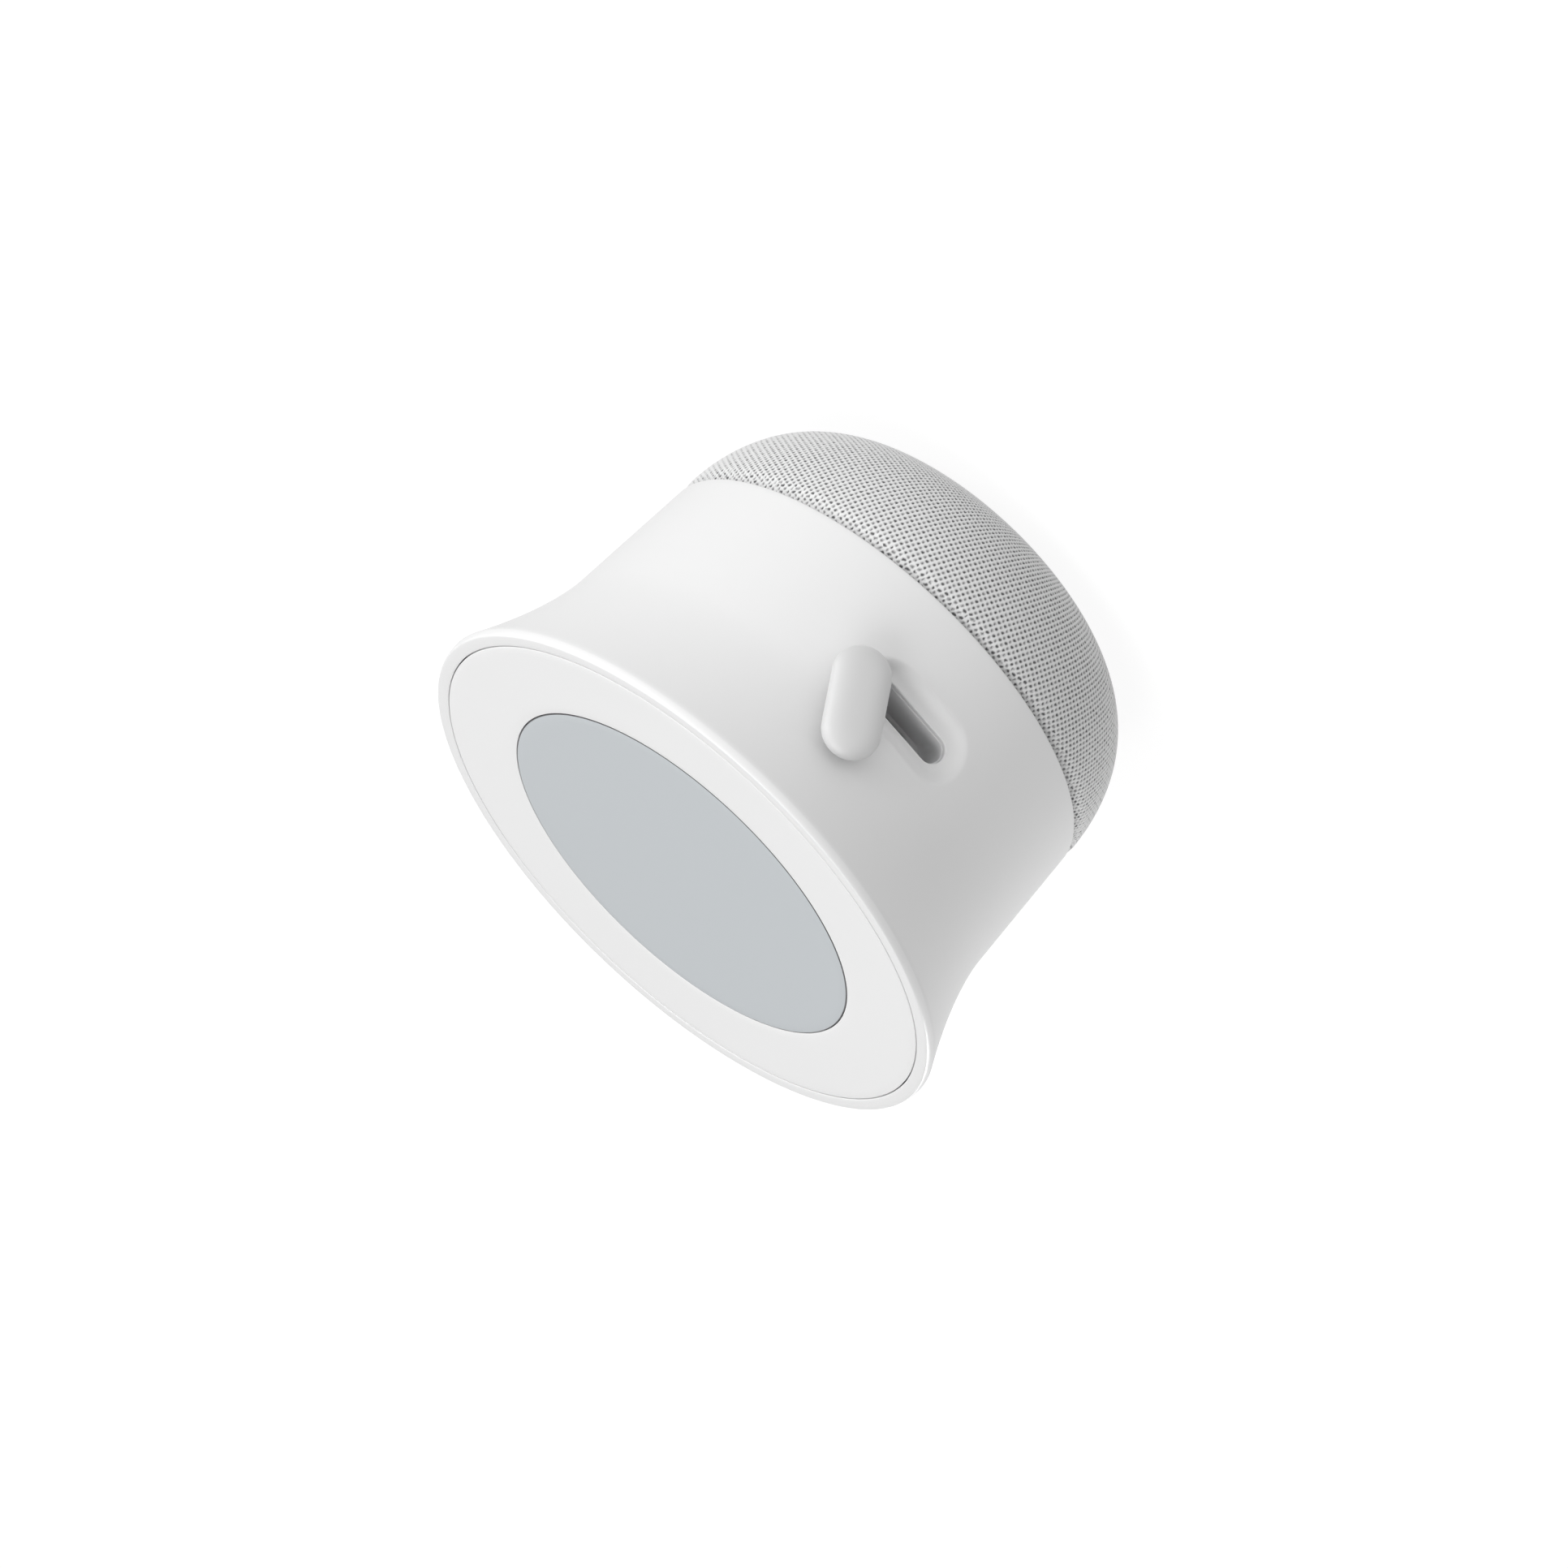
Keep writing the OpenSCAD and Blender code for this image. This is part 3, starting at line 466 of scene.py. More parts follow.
def lay_over(material, share, colour):
    """Lays a colour over a finish's base colour, as far as the share, a socket from 0 to 1."""
    tree = material.node_tree
    base = tree.nodes["Principled BSDF"].inputs["Base Color"]
    mix = put(tree, "ShaderNodeMix", data_type="RGBA", B=(*colour, 1))
    join(
        tree,
        (share, mix.inputs["Factor"]),
        (base.links[0].from_socket, mix.inputs["A"]),
        (mix.outputs["Result"], base),
    )


print("finish helpers are ready")

# %% Plastics and rubbers
finish("white_plastic", (0.72, 0.72, 0.72), 0.36, 5200.0, 0.10, amount=0.012,
       drift_scale=25.0, IOR=1.46)
finish("face_plastic", (0.72, 0.72, 0.72), 0.5, 5200.0, 0.10, amount=0.012,
       drift_scale=25.0, IOR=1.46)
finish("white_rubber", (0.58, 0.58, 0.58), 0.42, 3000.0, 0.16, amount=0.02,
       IOR=1.45, Sheen_Weight=0.08)
finish("dark_rubber", (0.05, 0.05, 0.052), 0.65, 2600.0, 0.35, amount=0.25,
       worn=(0.16, 0.16, 0.16), IOR=1.5)
finish("liner_plastic", (0.74, 0.74, 0.745), 0.45, 3600.0, 0.25, amount=0.1,
      IOR=1.5)
finish("black_plastic", (0.022, 0.022, 0.024), 0.45, 3200.0, 0.3, amount=0.2,
       worn=(0.1, 0.1, 0.1), IOR=1.5)
finish("grey_plastic", (0.34, 0.345, 0.35), 0.48, 3000.0, 0.3, amount=0.08,
       worn=(0.5, 0.5, 0.5), IOR=1.5)
finish("ivory_plastic", (0.76, 0.71, 0.58), 0.4, 3000.0, 0.2, amount=0.08, IOR=1.5)
finish("black_tape", (0.018, 0.018, 0.018), 0.7, 1800.0, 0.5, amount=0.3)
print(len(finishes), "plastic and rubber finishes")

# %% Films, cables and boards
finish("clear_film", (0.62, 0.65, 0.66), 0.12, 900.0, 0.05, amount=0.03, IOR=1.5,
       Coat_Weight=0.6, Coat_Roughness=0.05)
finish("panel_glass", (0.03, 0.034, 0.04), 0.1, 900.0, 0.04, amount=0.1, IOR=1.52,
       Coat_Weight=1.0, Coat_Roughness=0.03)
finish("light_guide", (0.85, 0.86, 0.87), 0.22, 1500.0, 0.15, amount=0.03, IOR=1.49)
finish("flex_cable", (0.45, 0.16, 0.03), 0.3, 1200.0, 0.15, amount=0.2, IOR=1.6,
       Coat_Weight=0.4, Coat_Roughness=0.15)
finish("battery_pouch", (0.45, 0.46, 0.48), 0.3, 700.0, 0.5, amount=0.1,
       worn=(0.7, 0.7, 0.72), Metallic=0.7)
finish("lead_red", (0.5, 0.02, 0.015), 0.4, 2500.0, 0.2, amount=0.12, IOR=1.5)
finish("lead_black", (0.02, 0.02, 0.02), 0.4, 2500.0, 0.2, amount=0.2, IOR=1.5)
print(len(finishes), "finishes so far")

# %% [markdown]
# Metals take their colour from a metallic surface and their character from fine
# lines: steel and aluminium are brushed one way, and copper has lines round it,
# like wire. The stretch sets the lines' direction, and the black metal and the
# magnet, which are stretched alike all ways, have a plain grain.

# %% Metals
def metal(name, colour, roughness, stretch, depth, amount=0.06, worn=None):
    """A metal with brushed lines."""
    material, tree, principled = new_material(name, Metallic=1.0)
    lines = put(tree, "ShaderNodeGroup", node_tree=brushed, Stretch=stretch, Depth=depth,
                Roughness=roughness)
    drifted = put(tree, "ShaderNodeGroup", node_tree=drift, Colour=(*colour, 1), Amount=amount,
                  Scale=120.0)
    edge = put(tree, "ShaderNodeGroup", node_tree=wear, Worn=(*(worn or colour), 1), Amount=0.5)
    join(
        tree,
        (drifted.outputs["Colour"], edge.inputs["Colour"]),
        (edge.outputs["Colour"], principled.inputs["Base Color"]),
        (lines.outputs["Roughness"], principled.inputs["Roughness"]),
        (lines.outputs["Normal"], principled.inputs["Normal"]),
    )
    finishes[name] = material


metal("steel", (0.58, 0.58, 0.57), 0.32, (0.06, 1.0, 1.0), 0.25, worn=(0.8, 0.8, 0.8))
metal("aluminium", (0.78, 0.79, 0.80), 0.36, (1.0, 0.05, 1.0), 0.3)
metal("copper", (0.78, 0.36, 0.17), 0.3, (0.1, 0.1, 3.0), 0.5)
metal("black_metal", (0.06, 0.06, 0.062), 0.45, (1.0, 1.0, 1.0), 0.3, worn=(0.35, 0.35, 0.35))
metal("magnet", (0.13, 0.13, 0.14), 0.5, (1.0, 1.0, 1.0), 0.6, amount=0.3, worn=(0.3, 0.3, 0.31))
print(len(finishes), "finishes with the metals")

# %% Circuit board
board = finish("circuit_board", (0.012, 0.10, 0.045), 0.35, 2200.0, 0.1, amount=0.1, IOR=1.55,
               Coat_Weight=0.5, Coat_Roughness=0.2)
board_place = put(board.node_tree, "ShaderNodeTexCoord")
tracks = put(board.node_tree, "ShaderNodeTexBrick", Scale=160.0, Mortar_Size=0.03, Color1=(0, 0, 0, 1),
             Color2=(0.25, 0.25, 0.25, 1), Mortar=(1, 1, 1, 1))
join(board.node_tree, (board_place.outputs["Object"], tracks.inputs["Vector"]))
lay_over(board, tracks.outputs["Color"], (0.03, 0.2, 0.09))
print("circuit board done")

# %% [markdown]
# The speaker's cone is pressed paper and its spider is cloth that is dipped in
# resin. Both are fibres, so they take a deep matt grain and a drift of colour
# that is as fine as the fibres.

# %% Paper cone and spider cloth
finish("paper_cone", (0.03, 0.03, 0.032), 0.85, 1500.0, 0.9, amount=0.5, drift_scale=900.0)
finish("spider_cloth", (0.55, 0.43, 0.2), 0.75, 2600.0, 0.8, amount=0.35, drift_scale=1500.0)
print(len(finishes), "finishes with paper and cloth")

# %% [markdown]
# ## The screen's glass
# The unlit screen is a plain grey disc: fine etching on the cover glass spreads
# the reflections, so that the glass looks almost matt. A dark ring is painted
# inside the glass's edge: it is painted shade, which stands in for the shadow in
# the hairline gap round the screen.

# %% Screen glass
# Painted shade: the glass's colour darkens between these distances inside its edge, for the shadow in the gap
# round it.
GAP_SHADE_FROM, GAP_SHADE_FULL = 0.16, 0.10
screen_glass = finish("screen_glass", (0.472, 0.497, 0.514), 0.42, 7000.0, 0.06, variation=0.03, amount=0.01,
                      drift_scale=18.0, IOR=1.5)
glass_tree = screen_glass.node_tree
glass_place = put(glass_tree, "ShaderNodeTexCoord")
glass_flat = put(glass_tree, "ShaderNodeVectorMath", operation="MULTIPLY")
glass_flat.inputs[1].default_value = (1, 1, 0)
glass_radius = put(glass_tree, "ShaderNodeVectorMath", operation="LENGTH")
gap_shade_ring = put(glass_tree, "ShaderNodeMapRange", From_Min=(LENS_R - GAP_SHADE_FROM) * MM,
                 From_Max=(LENS_R - GAP_SHADE_FULL) * MM)
join(
    glass_tree,
    (glass_place.outputs["Object"], glass_flat.inputs[0]),
    (glass_flat.outputs["Vector"], glass_radius.inputs[0]),
    (glass_radius.outputs["Value"], gap_shade_ring.inputs["Value"]),
)
# The dark ring laid over the glass's colour is painted shade for the gap round the screen.
lay_over(screen_glass, gap_shade_ring.outputs["Result"], (0.10, 0.10, 0.105))
print("screen glass done")

# %% [markdown]
# ## The knit
# The speaker is hidden by a knitted skin. A machine knits it as a square lattice
# of light threads with a dark hole between each four, and it is wrapped round
# the dome at a slant. So the finish needs each point's place in the lattice. The
# mesh keeps that place as a two-number attribute called knit_place, in which a
# hole lies at each pair of whole numbers, and the finish reads it. The holes are
# the product of two cosines, with every other one a little stronger, and the
# threads are shaded by a fine twist. Where the cloth rolls in at the hem, its
# stitches are pulled out of line.

# %% Knit finish
HEM_FROM, HEM_TO = 24.2, 25.0
knit, knit_tree, knit_surface = new_material("knit_fabric", Roughness=0.85, Sheen_Weight=0.15,
                                             Specular_IOR_Level=0.25)
lattice_place = put(knit_tree, "ShaderNodeAttribute", attribute_name="knit_place")
solid_place = put(knit_tree, "ShaderNodeTexCoord")
split = put(knit_tree, "ShaderNodeSeparateXYZ")
upright = put(knit_tree, "ShaderNodeSeparateXYZ")
jitter = put(knit_tree, "ShaderNodeTexNoise", Scale=1250.0, Detail=1.0)
twist = put(knit_tree, "ShaderNodeTexNoise", Scale=9000.0, Detail=2.0)
hem = put(knit_tree, "ShaderNodeMapRange", From_Min=HEM_FROM * MM, From_Max=HEM_TO * MM,
          To_Min=0.3, To_Max=0.85)
join(
    knit_tree,
    (lattice_place.outputs["Vector"], split.inputs[0]),
    (solid_place.outputs["Object"], jitter.inputs["Vector"]),
    (solid_place.outputs["Object"], twist.inputs["Vector"]),
    (solid_place.outputs["Object"], upright.inputs[0]),
    (upright.outputs["Z"], hem.inputs["Value"]),
)


def sums(operation, a, b=None):
    """A Math node in the knit's own tree."""
    return maths(knit_tree, operation, a, b)


waver = sums("MULTIPLY", sums("SUBTRACT", jitter.outputs["Fac"], 0.5), hem.outputs["Result"])


def wave(socket):
    """From 0 to 1, one crest each whole number."""
    turned = sums("MULTIPLY", sums("ADD", socket, waver), 2 * math.pi)
    return sums("MULTIPLY", sums("ADD", sums("COSINE", turned), 1.0), 0.5)


wale, course = wave(split.outputs["X"]), wave(split.outputs["Y"])
across = sums("MULTIPLY", sums("SUBTRACT", split.outputs["X"], split.outputs["Y"]), math.pi)
every_other = sums("ADD", sums("MULTIPLY", sums("COSINE", across), 0.27), 1.0)
hole = sums("MULTIPLY", sums("POWER", sums("MULTIPLY", wale, course), 1.1), every_other)
groove = sums("MULTIPLY", sums("POWER", course, 2.0), 0.14)
dark = sums("MINIMUM", sums("ADD", hole, groove), 1.0)
tone = sums("ADD", sums("MULTIPLY", twist.outputs["Fac"], 0.24), 0.88)
knit_height = sums("SUBTRACT", sums("MULTIPLY", twist.outputs["Fac"], 0.25), dark)
knit_colour = put(knit_tree, "ShaderNodeMix", data_type="RGBA", A=(0.72, 0.72, 0.72, 1),
                  B=(0.11, 0.11, 0.112, 1))
knit_tone = put(knit_tree, "ShaderNodeHueSaturation")
knit_bump = put(knit_tree, "ShaderNodeBump", Distance=0.0002, Strength=0.5)
join(
    knit_tree,
    (dark, knit_colour.inputs["Factor"]),
    (knit_colour.outputs["Result"], knit_tone.inputs["Color"]),
    (tone, knit_tone.inputs["Value"]),
    (knit_tone.outputs["Color"], knit_surface.inputs["Base Color"]),
    (knit_height, knit_bump.inputs["Height"]),
    (knit_bump.outputs["Normal"], knit_surface.inputs["Normal"]),
)
finishes["knit_fabric"] = knit
print("the knit reads", lattice_place.attribute_name)

# %% Give every part its finish
for entry in frame["record"]["materials"]:
    print(entry["slot"], "is", finishes[entry["slot"]].name)
SLOT_NODES = {
    "white_plastic": "main_shell front_bezel",
    "screen_glass": "screen_lens",
    "knit_fabric": "fabric_cover",
    "white_rubber": "port_cover cover_tether",
    "dark_rubber": "port_gasket driver_gasket driver_surround foot_pad",
    "liner_plastic": "port_liner",
    "black_plastic": "board_chips usb_tongue speaker_box speaker_baffle",
    "grey_plastic": "chassis speaker_cage",
    "ivory_plastic": "board_connectors",
    "black_tape": "bezel_tape lens_tape battery_pad foot_tape",
    "clear_film": "touch_film",
    "panel_glass": "display_panel",
    "light_guide": "backlight",
    "steel": "display_backplate display_screws chassis_screws board_screws port_board_screws driver_screws "
             "cage_screws microphones shield_can usb_shell top_plate magnet_yoke",
    "aluminium": "heat_spreader",
    "copper": "wifi_antenna voice_coil",
    "flex_cable": "display_flex port_flex",
    "circuit_board": "main_board microphone_board port_board",
    "battery_pouch": "battery_cell",
    "lead_red": "battery_leads",
    "lead_black": "speaker_leads",
    "black_metal": "driver_basket",
    "magnet": "magnet_ring",
    "paper_cone": "driver_cone dust_cap",
    "spider_cloth": "driver_spider",
}
for slot_name, members in SLOT_NODES.items():
    for member in members.split():
        part = nodes[member]
        part.data.materials.clear()
        part.data.materials.append(finishes[slot_name])
print(sum(len(v.split()) for v in SLOT_NODES.values()), "of", len(nodes), "parts have a finish")

# %% [markdown]
# ## The housing
# One thin white moulding runs from the waist to the rim of the face. It is a
# revolve, but the charging port lies in a soft dish in its side, and a cut into
# a revolve would leave ragged faces. So a window is left out of the grid, and a
# patch of rings fills it: the inner rings have the pill shape of the slot, and
# they spread to the window's four sides. Each ring's depth follows a smooth
# curve from the dish's flat bed out to the round wall.

# %% Housing section
AROUND, WINDOW_HALF = 384, 20
WINDOW_REACH, WINDOW_ROWS = 9, 18
WALL, WALL_BACK = 2.0, 38.5
GROOVE_R, LEDGE_R, LEDGE_Z = BEZEL_R + BEZEL_GAP, 47.6, 72.6
HEM_SLOT_R, HEM_SLOT_TOP = 42.2, 29.0


def even(start, stop, count):
    """Evenly spaced values, with both ends."""
    return [start + (stop - start) * i / count for i in range(count + 1)]


window_heights = even(PORT_Z - WINDOW_REACH, PORT_Z + WINDOW_REACH, WINDOW_ROWS)
outer_heights = even(WAIST_Z + 0.35, window_heights[0], 9)[:-1] + window_heights
outer_heights += even(window_heights[-1], HEIGHT - RIM_DROP, 22)[1:]
rim_wide = shell_r(HEIGHT - RIM_DROP) - FACE_R
waist_edge = [(WAIST_R - 0.35, WAIST_Z), (WAIST_R - 0.16, WAIST_Z + 0.03), (WAIST_R - 0.03, WAIST_Z + 0.13)]
rim = [(FACE_R + rim_wide * math.cos(a), HEIGHT - RIM_DROP + RIM_DROP * math.sin(a))
       for a in np.radians(np.linspace(9, 90, 10))]
face_rings = [(51.2, HEIGHT), (50.5, HEIGHT)]
groove_edge = fillet((GROOVE_R + 0.15, HEIGHT - 0.15), 0.15, 90, 180, 3)
groove_wall = [(GROOVE_R, 73.9), (GROOVE_R, LEDGE_Z), (LEDGE_R, LEDGE_Z), (LEDGE_R, 70.8)]
outer_section = waist_edge + [(shell_r(z), z) for z in outer_heights] + rim + face_rings
outer_section += groove_edge + groove_wall
inner_heights = [70.6, 66, 62, 58] + window_heights[::-1] + [33, 30.8]
hem_slot = [(shell_r(HEM_SLOT_TOP) - WALL, HEM_SLOT_TOP)]
hem_slot += [(HEM_SLOT_R, z) for z in (HEM_SLOT_TOP, 27.9, WAIST_Z)]
section = outer_section + [(shell_r(z) - WALL, z) for z in inner_heights] + hem_slot
outer_first = len(waist_edge) + outer_heights.index(window_heights[0])
inner_first = len(outer_section) + inner_heights.index(window_heights[-1])
print(len(section), "points in the housing's section")

# %% Housing patch round the port
DISH_STEPS = [6.9, 6.6, 6.4, 6.2, 6.0, 5.8, 5.55, 5.3, 5.0, 4.7, 4.4, 4.1, 3.8, 3.5, 3.25, 3.0, 2.8]
DISH_BED, DISH_SLOPE, DISH_POWER = 2.75, 3.55, 1.35
SLOT_EDGE, SLOT_INNER_R, SLOT_BACK_R = 0.25, 3.2, 4.6


def window_loop(first, upward):
    """Grid indices of the window's border, once round."""
    rows = [first + i for i in range(WINDOW_ROWS + 1)]
    rows = rows if upward else rows[::-1]
    low, high = rows[0], rows[-1]
    across = list(range(-WINDOW_HALF, WINDOW_HALF + 1))
    loop = [(low, c) for c in across[:-1]] + [(r, WINDOW_HALF) for r in rows[:-1]]
    loop += [(high, c) for c in across[:0:-1]] + [(r, -WINDOW_HALF) for r in rows[:0:-1]]
    return [r * AROUND + c % AROUND for r, c in loop]


def wall_y(x, z):
    """The round wall's y at a point of the port side."""
    return -math.sqrt(shell_r(z) ** 2 - x * x)


def dish_y(x, z, distance):
    """The wall's y near the port: the dish's bed at the slot, the round wall beyond it."""
    wall = wall_y(x, z)
    share = min(max((distance - DISH_BED) / DISH_SLOPE, 0.0), 1.0) ** DISH_POWER
    bed = 1 - share * share * (3 - 2 * share)
    return wall + (-RECESS_Y - wall) * bed


shell_points = revolve(section, AROUND, -math.pi / 2)
outer_loop, inner_loop = window_loop(outer_first, True), window_loop(inner_first, False)
border, inner_border = shell_points[outer_loop] / MM, shell_points[inner_loop] / MM
core = np.stack([np.clip(border[:, 0], -SLOT_A, SLOT_A), np.full(len(border), PORT_Z)], -1)
away = border[:, [0, 2]] - core
border_distance = np.linalg.norm(away, axis=1)
away /= border_distance[:, None]
patch = []
for step in (0.25, 0.5, 0.75):
    far = border_distance + (DISH_STEPS[0] - border_distance) * step
    patch.append([(x, wall_y(x, z), z) for x, z in core + away * far[:, None]])
for distance in DISH_STEPS:
    patch.append([(x, dish_y(x, z, distance), z) for x, z in core + away * distance])
slot_wall = [(SLOT_R + SLOT_EDGE - SLOT_EDGE * math.sin(a), -RECESS_Y + SLOT_EDGE - SLOT_EDGE * math.cos(a))
             for a in np.radians([0, 22, 45, 68, 90])]
slot_wall += [(SLOT_R, -41.65), (SLOT_R, -41.3)]
slot_wall += [(SLOT_INNER_R, y) for y in (-41.3, -40, -WALL_BACK)] + [(SLOT_BACK_R, -WALL_BACK)]
for distance, y in slot_wall:
    patch.append([(x, y, z) for x, z in core + away * distance])
last_ring = np.array(patch[-1])
for share in (0.45, 0.8):
    patch.append([tuple(p) for p in last_ring * (1 - share) + inner_border * share])
print(len(patch), "rings of", len(border), "points round the port")

# %% Housing mesh
skip = {(first + i, j % AROUND) for first in (outer_first, inner_first)
        for i in range(WINDOW_ROWS) for j in range(-WINDOW_HALF, WINDOW_HALF)}
shell_faces = grid_faces(len(section), AROUND, True, skip)
count, start_at = len(border), len(shell_points)
ring_rows = [list(range(start_at + k * count, start_at + (k + 1) * count)) for k in range(len(patch))]
ring_rows = [outer_loop] + ring_rows + [inner_loop]
for row, following in zip(ring_rows, ring_rows[1:]):
    shell_faces += [(row[k], row[(k + 1) % count], following[(k + 1) % count], following[k])
                    for k in range(count)]
all_points = np.concatenate([shell_points, np.array(patch).reshape(-1, 3) * MM])
keep = sorted({v for f in shell_faces for v in f})
renumber = {v: i for i, v in enumerate(keep)}
kept_faces = [tuple(renumber[v] for v in f) for f in shell_faces]
housing = add_mesh("housing_shell", all_points[keep], kept_faces, "white_plastic", sharp=50)
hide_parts("main_shell")

# %% [markdown]
# ## The face ring and the screen
# The flat white ring drops into the rim and hides the joint with a groove of a
# fifth of a millimetre. Both the ring and the glass are revolves. Their edges
# are rounded by a tenth or two of a millimetre: too small to see as a shape, but
# it is what catches the light, and an edge without it looks drawn.

# %% Face ring
RING_HOLE_R, RING_UNDER, SEAT_Z, SEAT_R = LENS_R + LENS_GAP, 72.8, 73.5, 33.4
LENS_EDGE, BEZEL_EDGE = 0.12, 0.15
ring_section = fillet((RING_HOLE_R + LENS_EDGE, HEIGHT - LENS_EDGE), LENS_EDGE, 180, 90, 3)
ring_section += [(r, HEIGHT) for r in (37, 40, 44, 48)]
ring_section += fillet((BEZEL_R - BEZEL_EDGE, HEIGHT - BEZEL_EDGE), BEZEL_EDGE, 90, 0, 3)
ring_section += [(BEZEL_R, RING_UNDER), (47.45, RING_UNDER), (47.45, 70.2), (46.9, 70.2), (46.9, RING_UNDER)]
ring_section += [(37, RING_UNDER), (37, 72.5), (SEAT_R, 72.5), (SEAT_R, SEAT_Z), (RING_HOLE_R, SEAT_Z)]
face_ring = add_mesh("face_ring", revolve(ring_section, AROUND), grid_faces(len(ring_section), AROUND, True),
                     "white_plastic", sharp=40, look="face_plastic")
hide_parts("front_bezel")

# %% Screen glass disc
GLASS_UNDER, GLASS_EDGE, NEAR_AXIS = HEIGHT - 1.2, 0.1, 0.001
glass_section = [(r, HEIGHT) for r in (NEAR_AXIS, 6, 12, 18, 24, 29, 33)]
glass_section += fillet((LENS_R - GLASS_EDGE, HEIGHT - GLASS_EDGE), GLASS_EDGE, 90, 0, 3)
glass_section += [(r, GLASS_UNDER) for r in (LENS_R, 30, NEAR_AXIS)]
glass = add_mesh("screen_disc", revolve(glass_section, AROUND), grid_faces(len(glass_section), AROUND),
                 "screen_glass", sharp=40)
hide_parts("screen_lens")

# %% [markdown]
# ## The knitted skin
# The skin is one band of cloth, joined into a tube and drawn in toward the foot.
# Its lattice runs round at a slant, and still meets itself without a seam: that
# works when a walk once round the dome crosses a whole number of threads of each
# kind. So the net of points is made in the lattice, with two points to a cell,
# and is laid on the dome from there. Each point that falls in a hole of the knit
# is pushed in, so the threads stand out as real shape. Past the waist the cloth
# rolls in and goes up behind the housing, and at the foot it turns up into the
# gap, so both raw edges are hidden.

# %% Knitted skin section
HOLE_R, DOME_POWER_R, DOME_POWER_Z = 21.0, 0.4837, 0.967


def dome_point(angle):
    """A point of the dome's section, a superellipse, from the waist at 0 to the axis."""
    return (WAIST_R * math.cos(angle) ** DOME_POWER_R, WAIST_Z - WAIST_Z * math.sin(angle) ** DOME_POWER_Z)


end_angle = math.acos((HOLE_R / WAIST_R) ** (1 / DOME_POWER_R))
dome_line = [dome_point(a) for a in np.linspace(end_angle, math.radians(5.2), 120)]
roll_z = dome_line[-1][1]
hem_roll = [(43.22, roll_z + 0.5), (43.08, roll_z + 0.95), (42.78, 26.2), (42.35, 26.75), (42.0, 27.3),
            (41.9, 28.0), (41.9, 28.5)]
foot_roll = [(20.75, 2.6), (20.7, 1.6), (20.78, 0.95)]
skin_line = np.array(foot_roll + dome_line + hem_roll)
steps = np.hypot(*np.diff(skin_line, axis=0).T)
along = np.concatenate([[0], np.cumsum(steps)])
print(f"the skin's section is {along[-1]:.1f} mm long")

# %% Knit lattice
ROUND_U, ROUND_V = 136, 276
CELL_POINTS, HOLE_PUSH = 2, -0.24
turn_cells = ROUND_U ** 2 + ROUND_V ** 2
band_width = 2 * math.pi * WAIST_R
knit_pitch = band_width / math.sqrt(turn_cells)
last_row = int(along[-1] / band_width * turn_cells * CELL_POINTS)
grid_i, grid_j = np.meshgrid(np.arange(-2, 420), np.arange(-80, 560), indexing="ij")


def lattice_to_band(i, j):
    """Steps round the band and steps along the section of a lattice point."""
    return ROUND_U * i + ROUND_V * j, ROUND_V * i - ROUND_U * j


round_steps, section_steps = lattice_to_band(grid_i, grid_j)
full_turn = CELL_POINTS * turn_cells
inside = (round_steps >= 0) & (round_steps < full_turn) & (section_steps >= 0) & (section_steps <= last_row)
number = np.where(inside, np.cumsum(inside).reshape(inside.shape) - 1, -1)
print(f"knit pitch {knit_pitch:.3f} mm, {inside.sum()} points")

# %% Knitted skin mesh
net_i, net_j = grid_i[inside], grid_j[inside]
angle = round_steps[inside] / full_turn * 2 * math.pi
distance = section_steps[inside] / full_turn * band_width
skin_r, skin_z = (np.interp(distance, along, column) for column in skin_line.T)
tangent_r, tangent_z = (np.interp(distance, along, np.gradient(column, along)) for column in skin_line.T)
size = np.hypot(tangent_r, tangent_z) + 1e-9
push = np.where((net_i % CELL_POINTS == 0) & (net_j % CELL_POINTS == 0), HOLE_PUSH, 0.0)
skin_r, skin_z = skin_r + push * tangent_z / size, skin_z - push * tangent_r / size
skin_points = np.stack([skin_r * np.cos(angle), skin_r * np.sin(angle), skin_z], -1) * MM
corner_i = net_i[:, None] + np.array([0, 1, 1, 0])
corner_j = net_j[:, None] + np.array([0, 0, 1, 1])
corner_round, _ = lattice_to_band(corner_i, corner_j)
turns = np.floor_divide(corner_round, full_turn)
row_i = corner_i - turns * CELL_POINTS * ROUND_U - grid_i[0, 0]
row_j = corner_j - turns * CELL_POINTS * ROUND_V - grid_j[0, 0]
quads = number[row_i, row_j]
whole = (quads >= 0).all(1)
skin_mesh = bpy.data.meshes.new("knitted_skin")
skin_mesh.from_pydata(skin_points.tolist(), [], quads[whole][:, ::-1].tolist())
where = skin_mesh.attributes.new("knit_place", "FLOAT_VECTOR", "CORNER")
corners = np.stack([corner_i[whole][:, ::-1], corner_j[whole][:, ::-1], 0 * corner_i[whole]], -1) / CELL_POINTS
where.data.foreach_set("vector", corners.ravel())
skin_mesh.polygons.foreach_set("use_smooth", [True] * len(skin_mesh.polygons))
loose = bmesh.new()
loose.from_mesh(skin_mesh)
bmesh.ops.delete(loose, geom=[v for v in loose.verts if not v.link_faces], context="VERTS")
bmesh.ops.recalc_face_normals(loose, faces=loose.faces)
loose.to_mesh(skin_mesh)
loose.free()
skin = link_object("knitted_skin", skin_mesh)
skin_mesh.materials.append(finishes["knit_fabric"])
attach(skin, "housing")
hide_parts("fabric_cover")
print(f"knitted_skin: {len(skin_mesh.vertices)} points, {len(skin_mesh.polygons)} faces, "
      f"a band of {band_width:.1f} x {along[-1]:.1f} mm")

# %% [markdown]
# ## The port cover and its strap
# The cover is a soft pill of white rubber that plugs the port's dish. It is a
# stack of pill rings from the middle of the underside, round the edge, to the
# middle of the top. The top's section is a superellipse: nearly flat in the
# middle, with round shoulders, like a small pillow. It is built shut, over the
# port, and then turned about its hinge line to the open place.

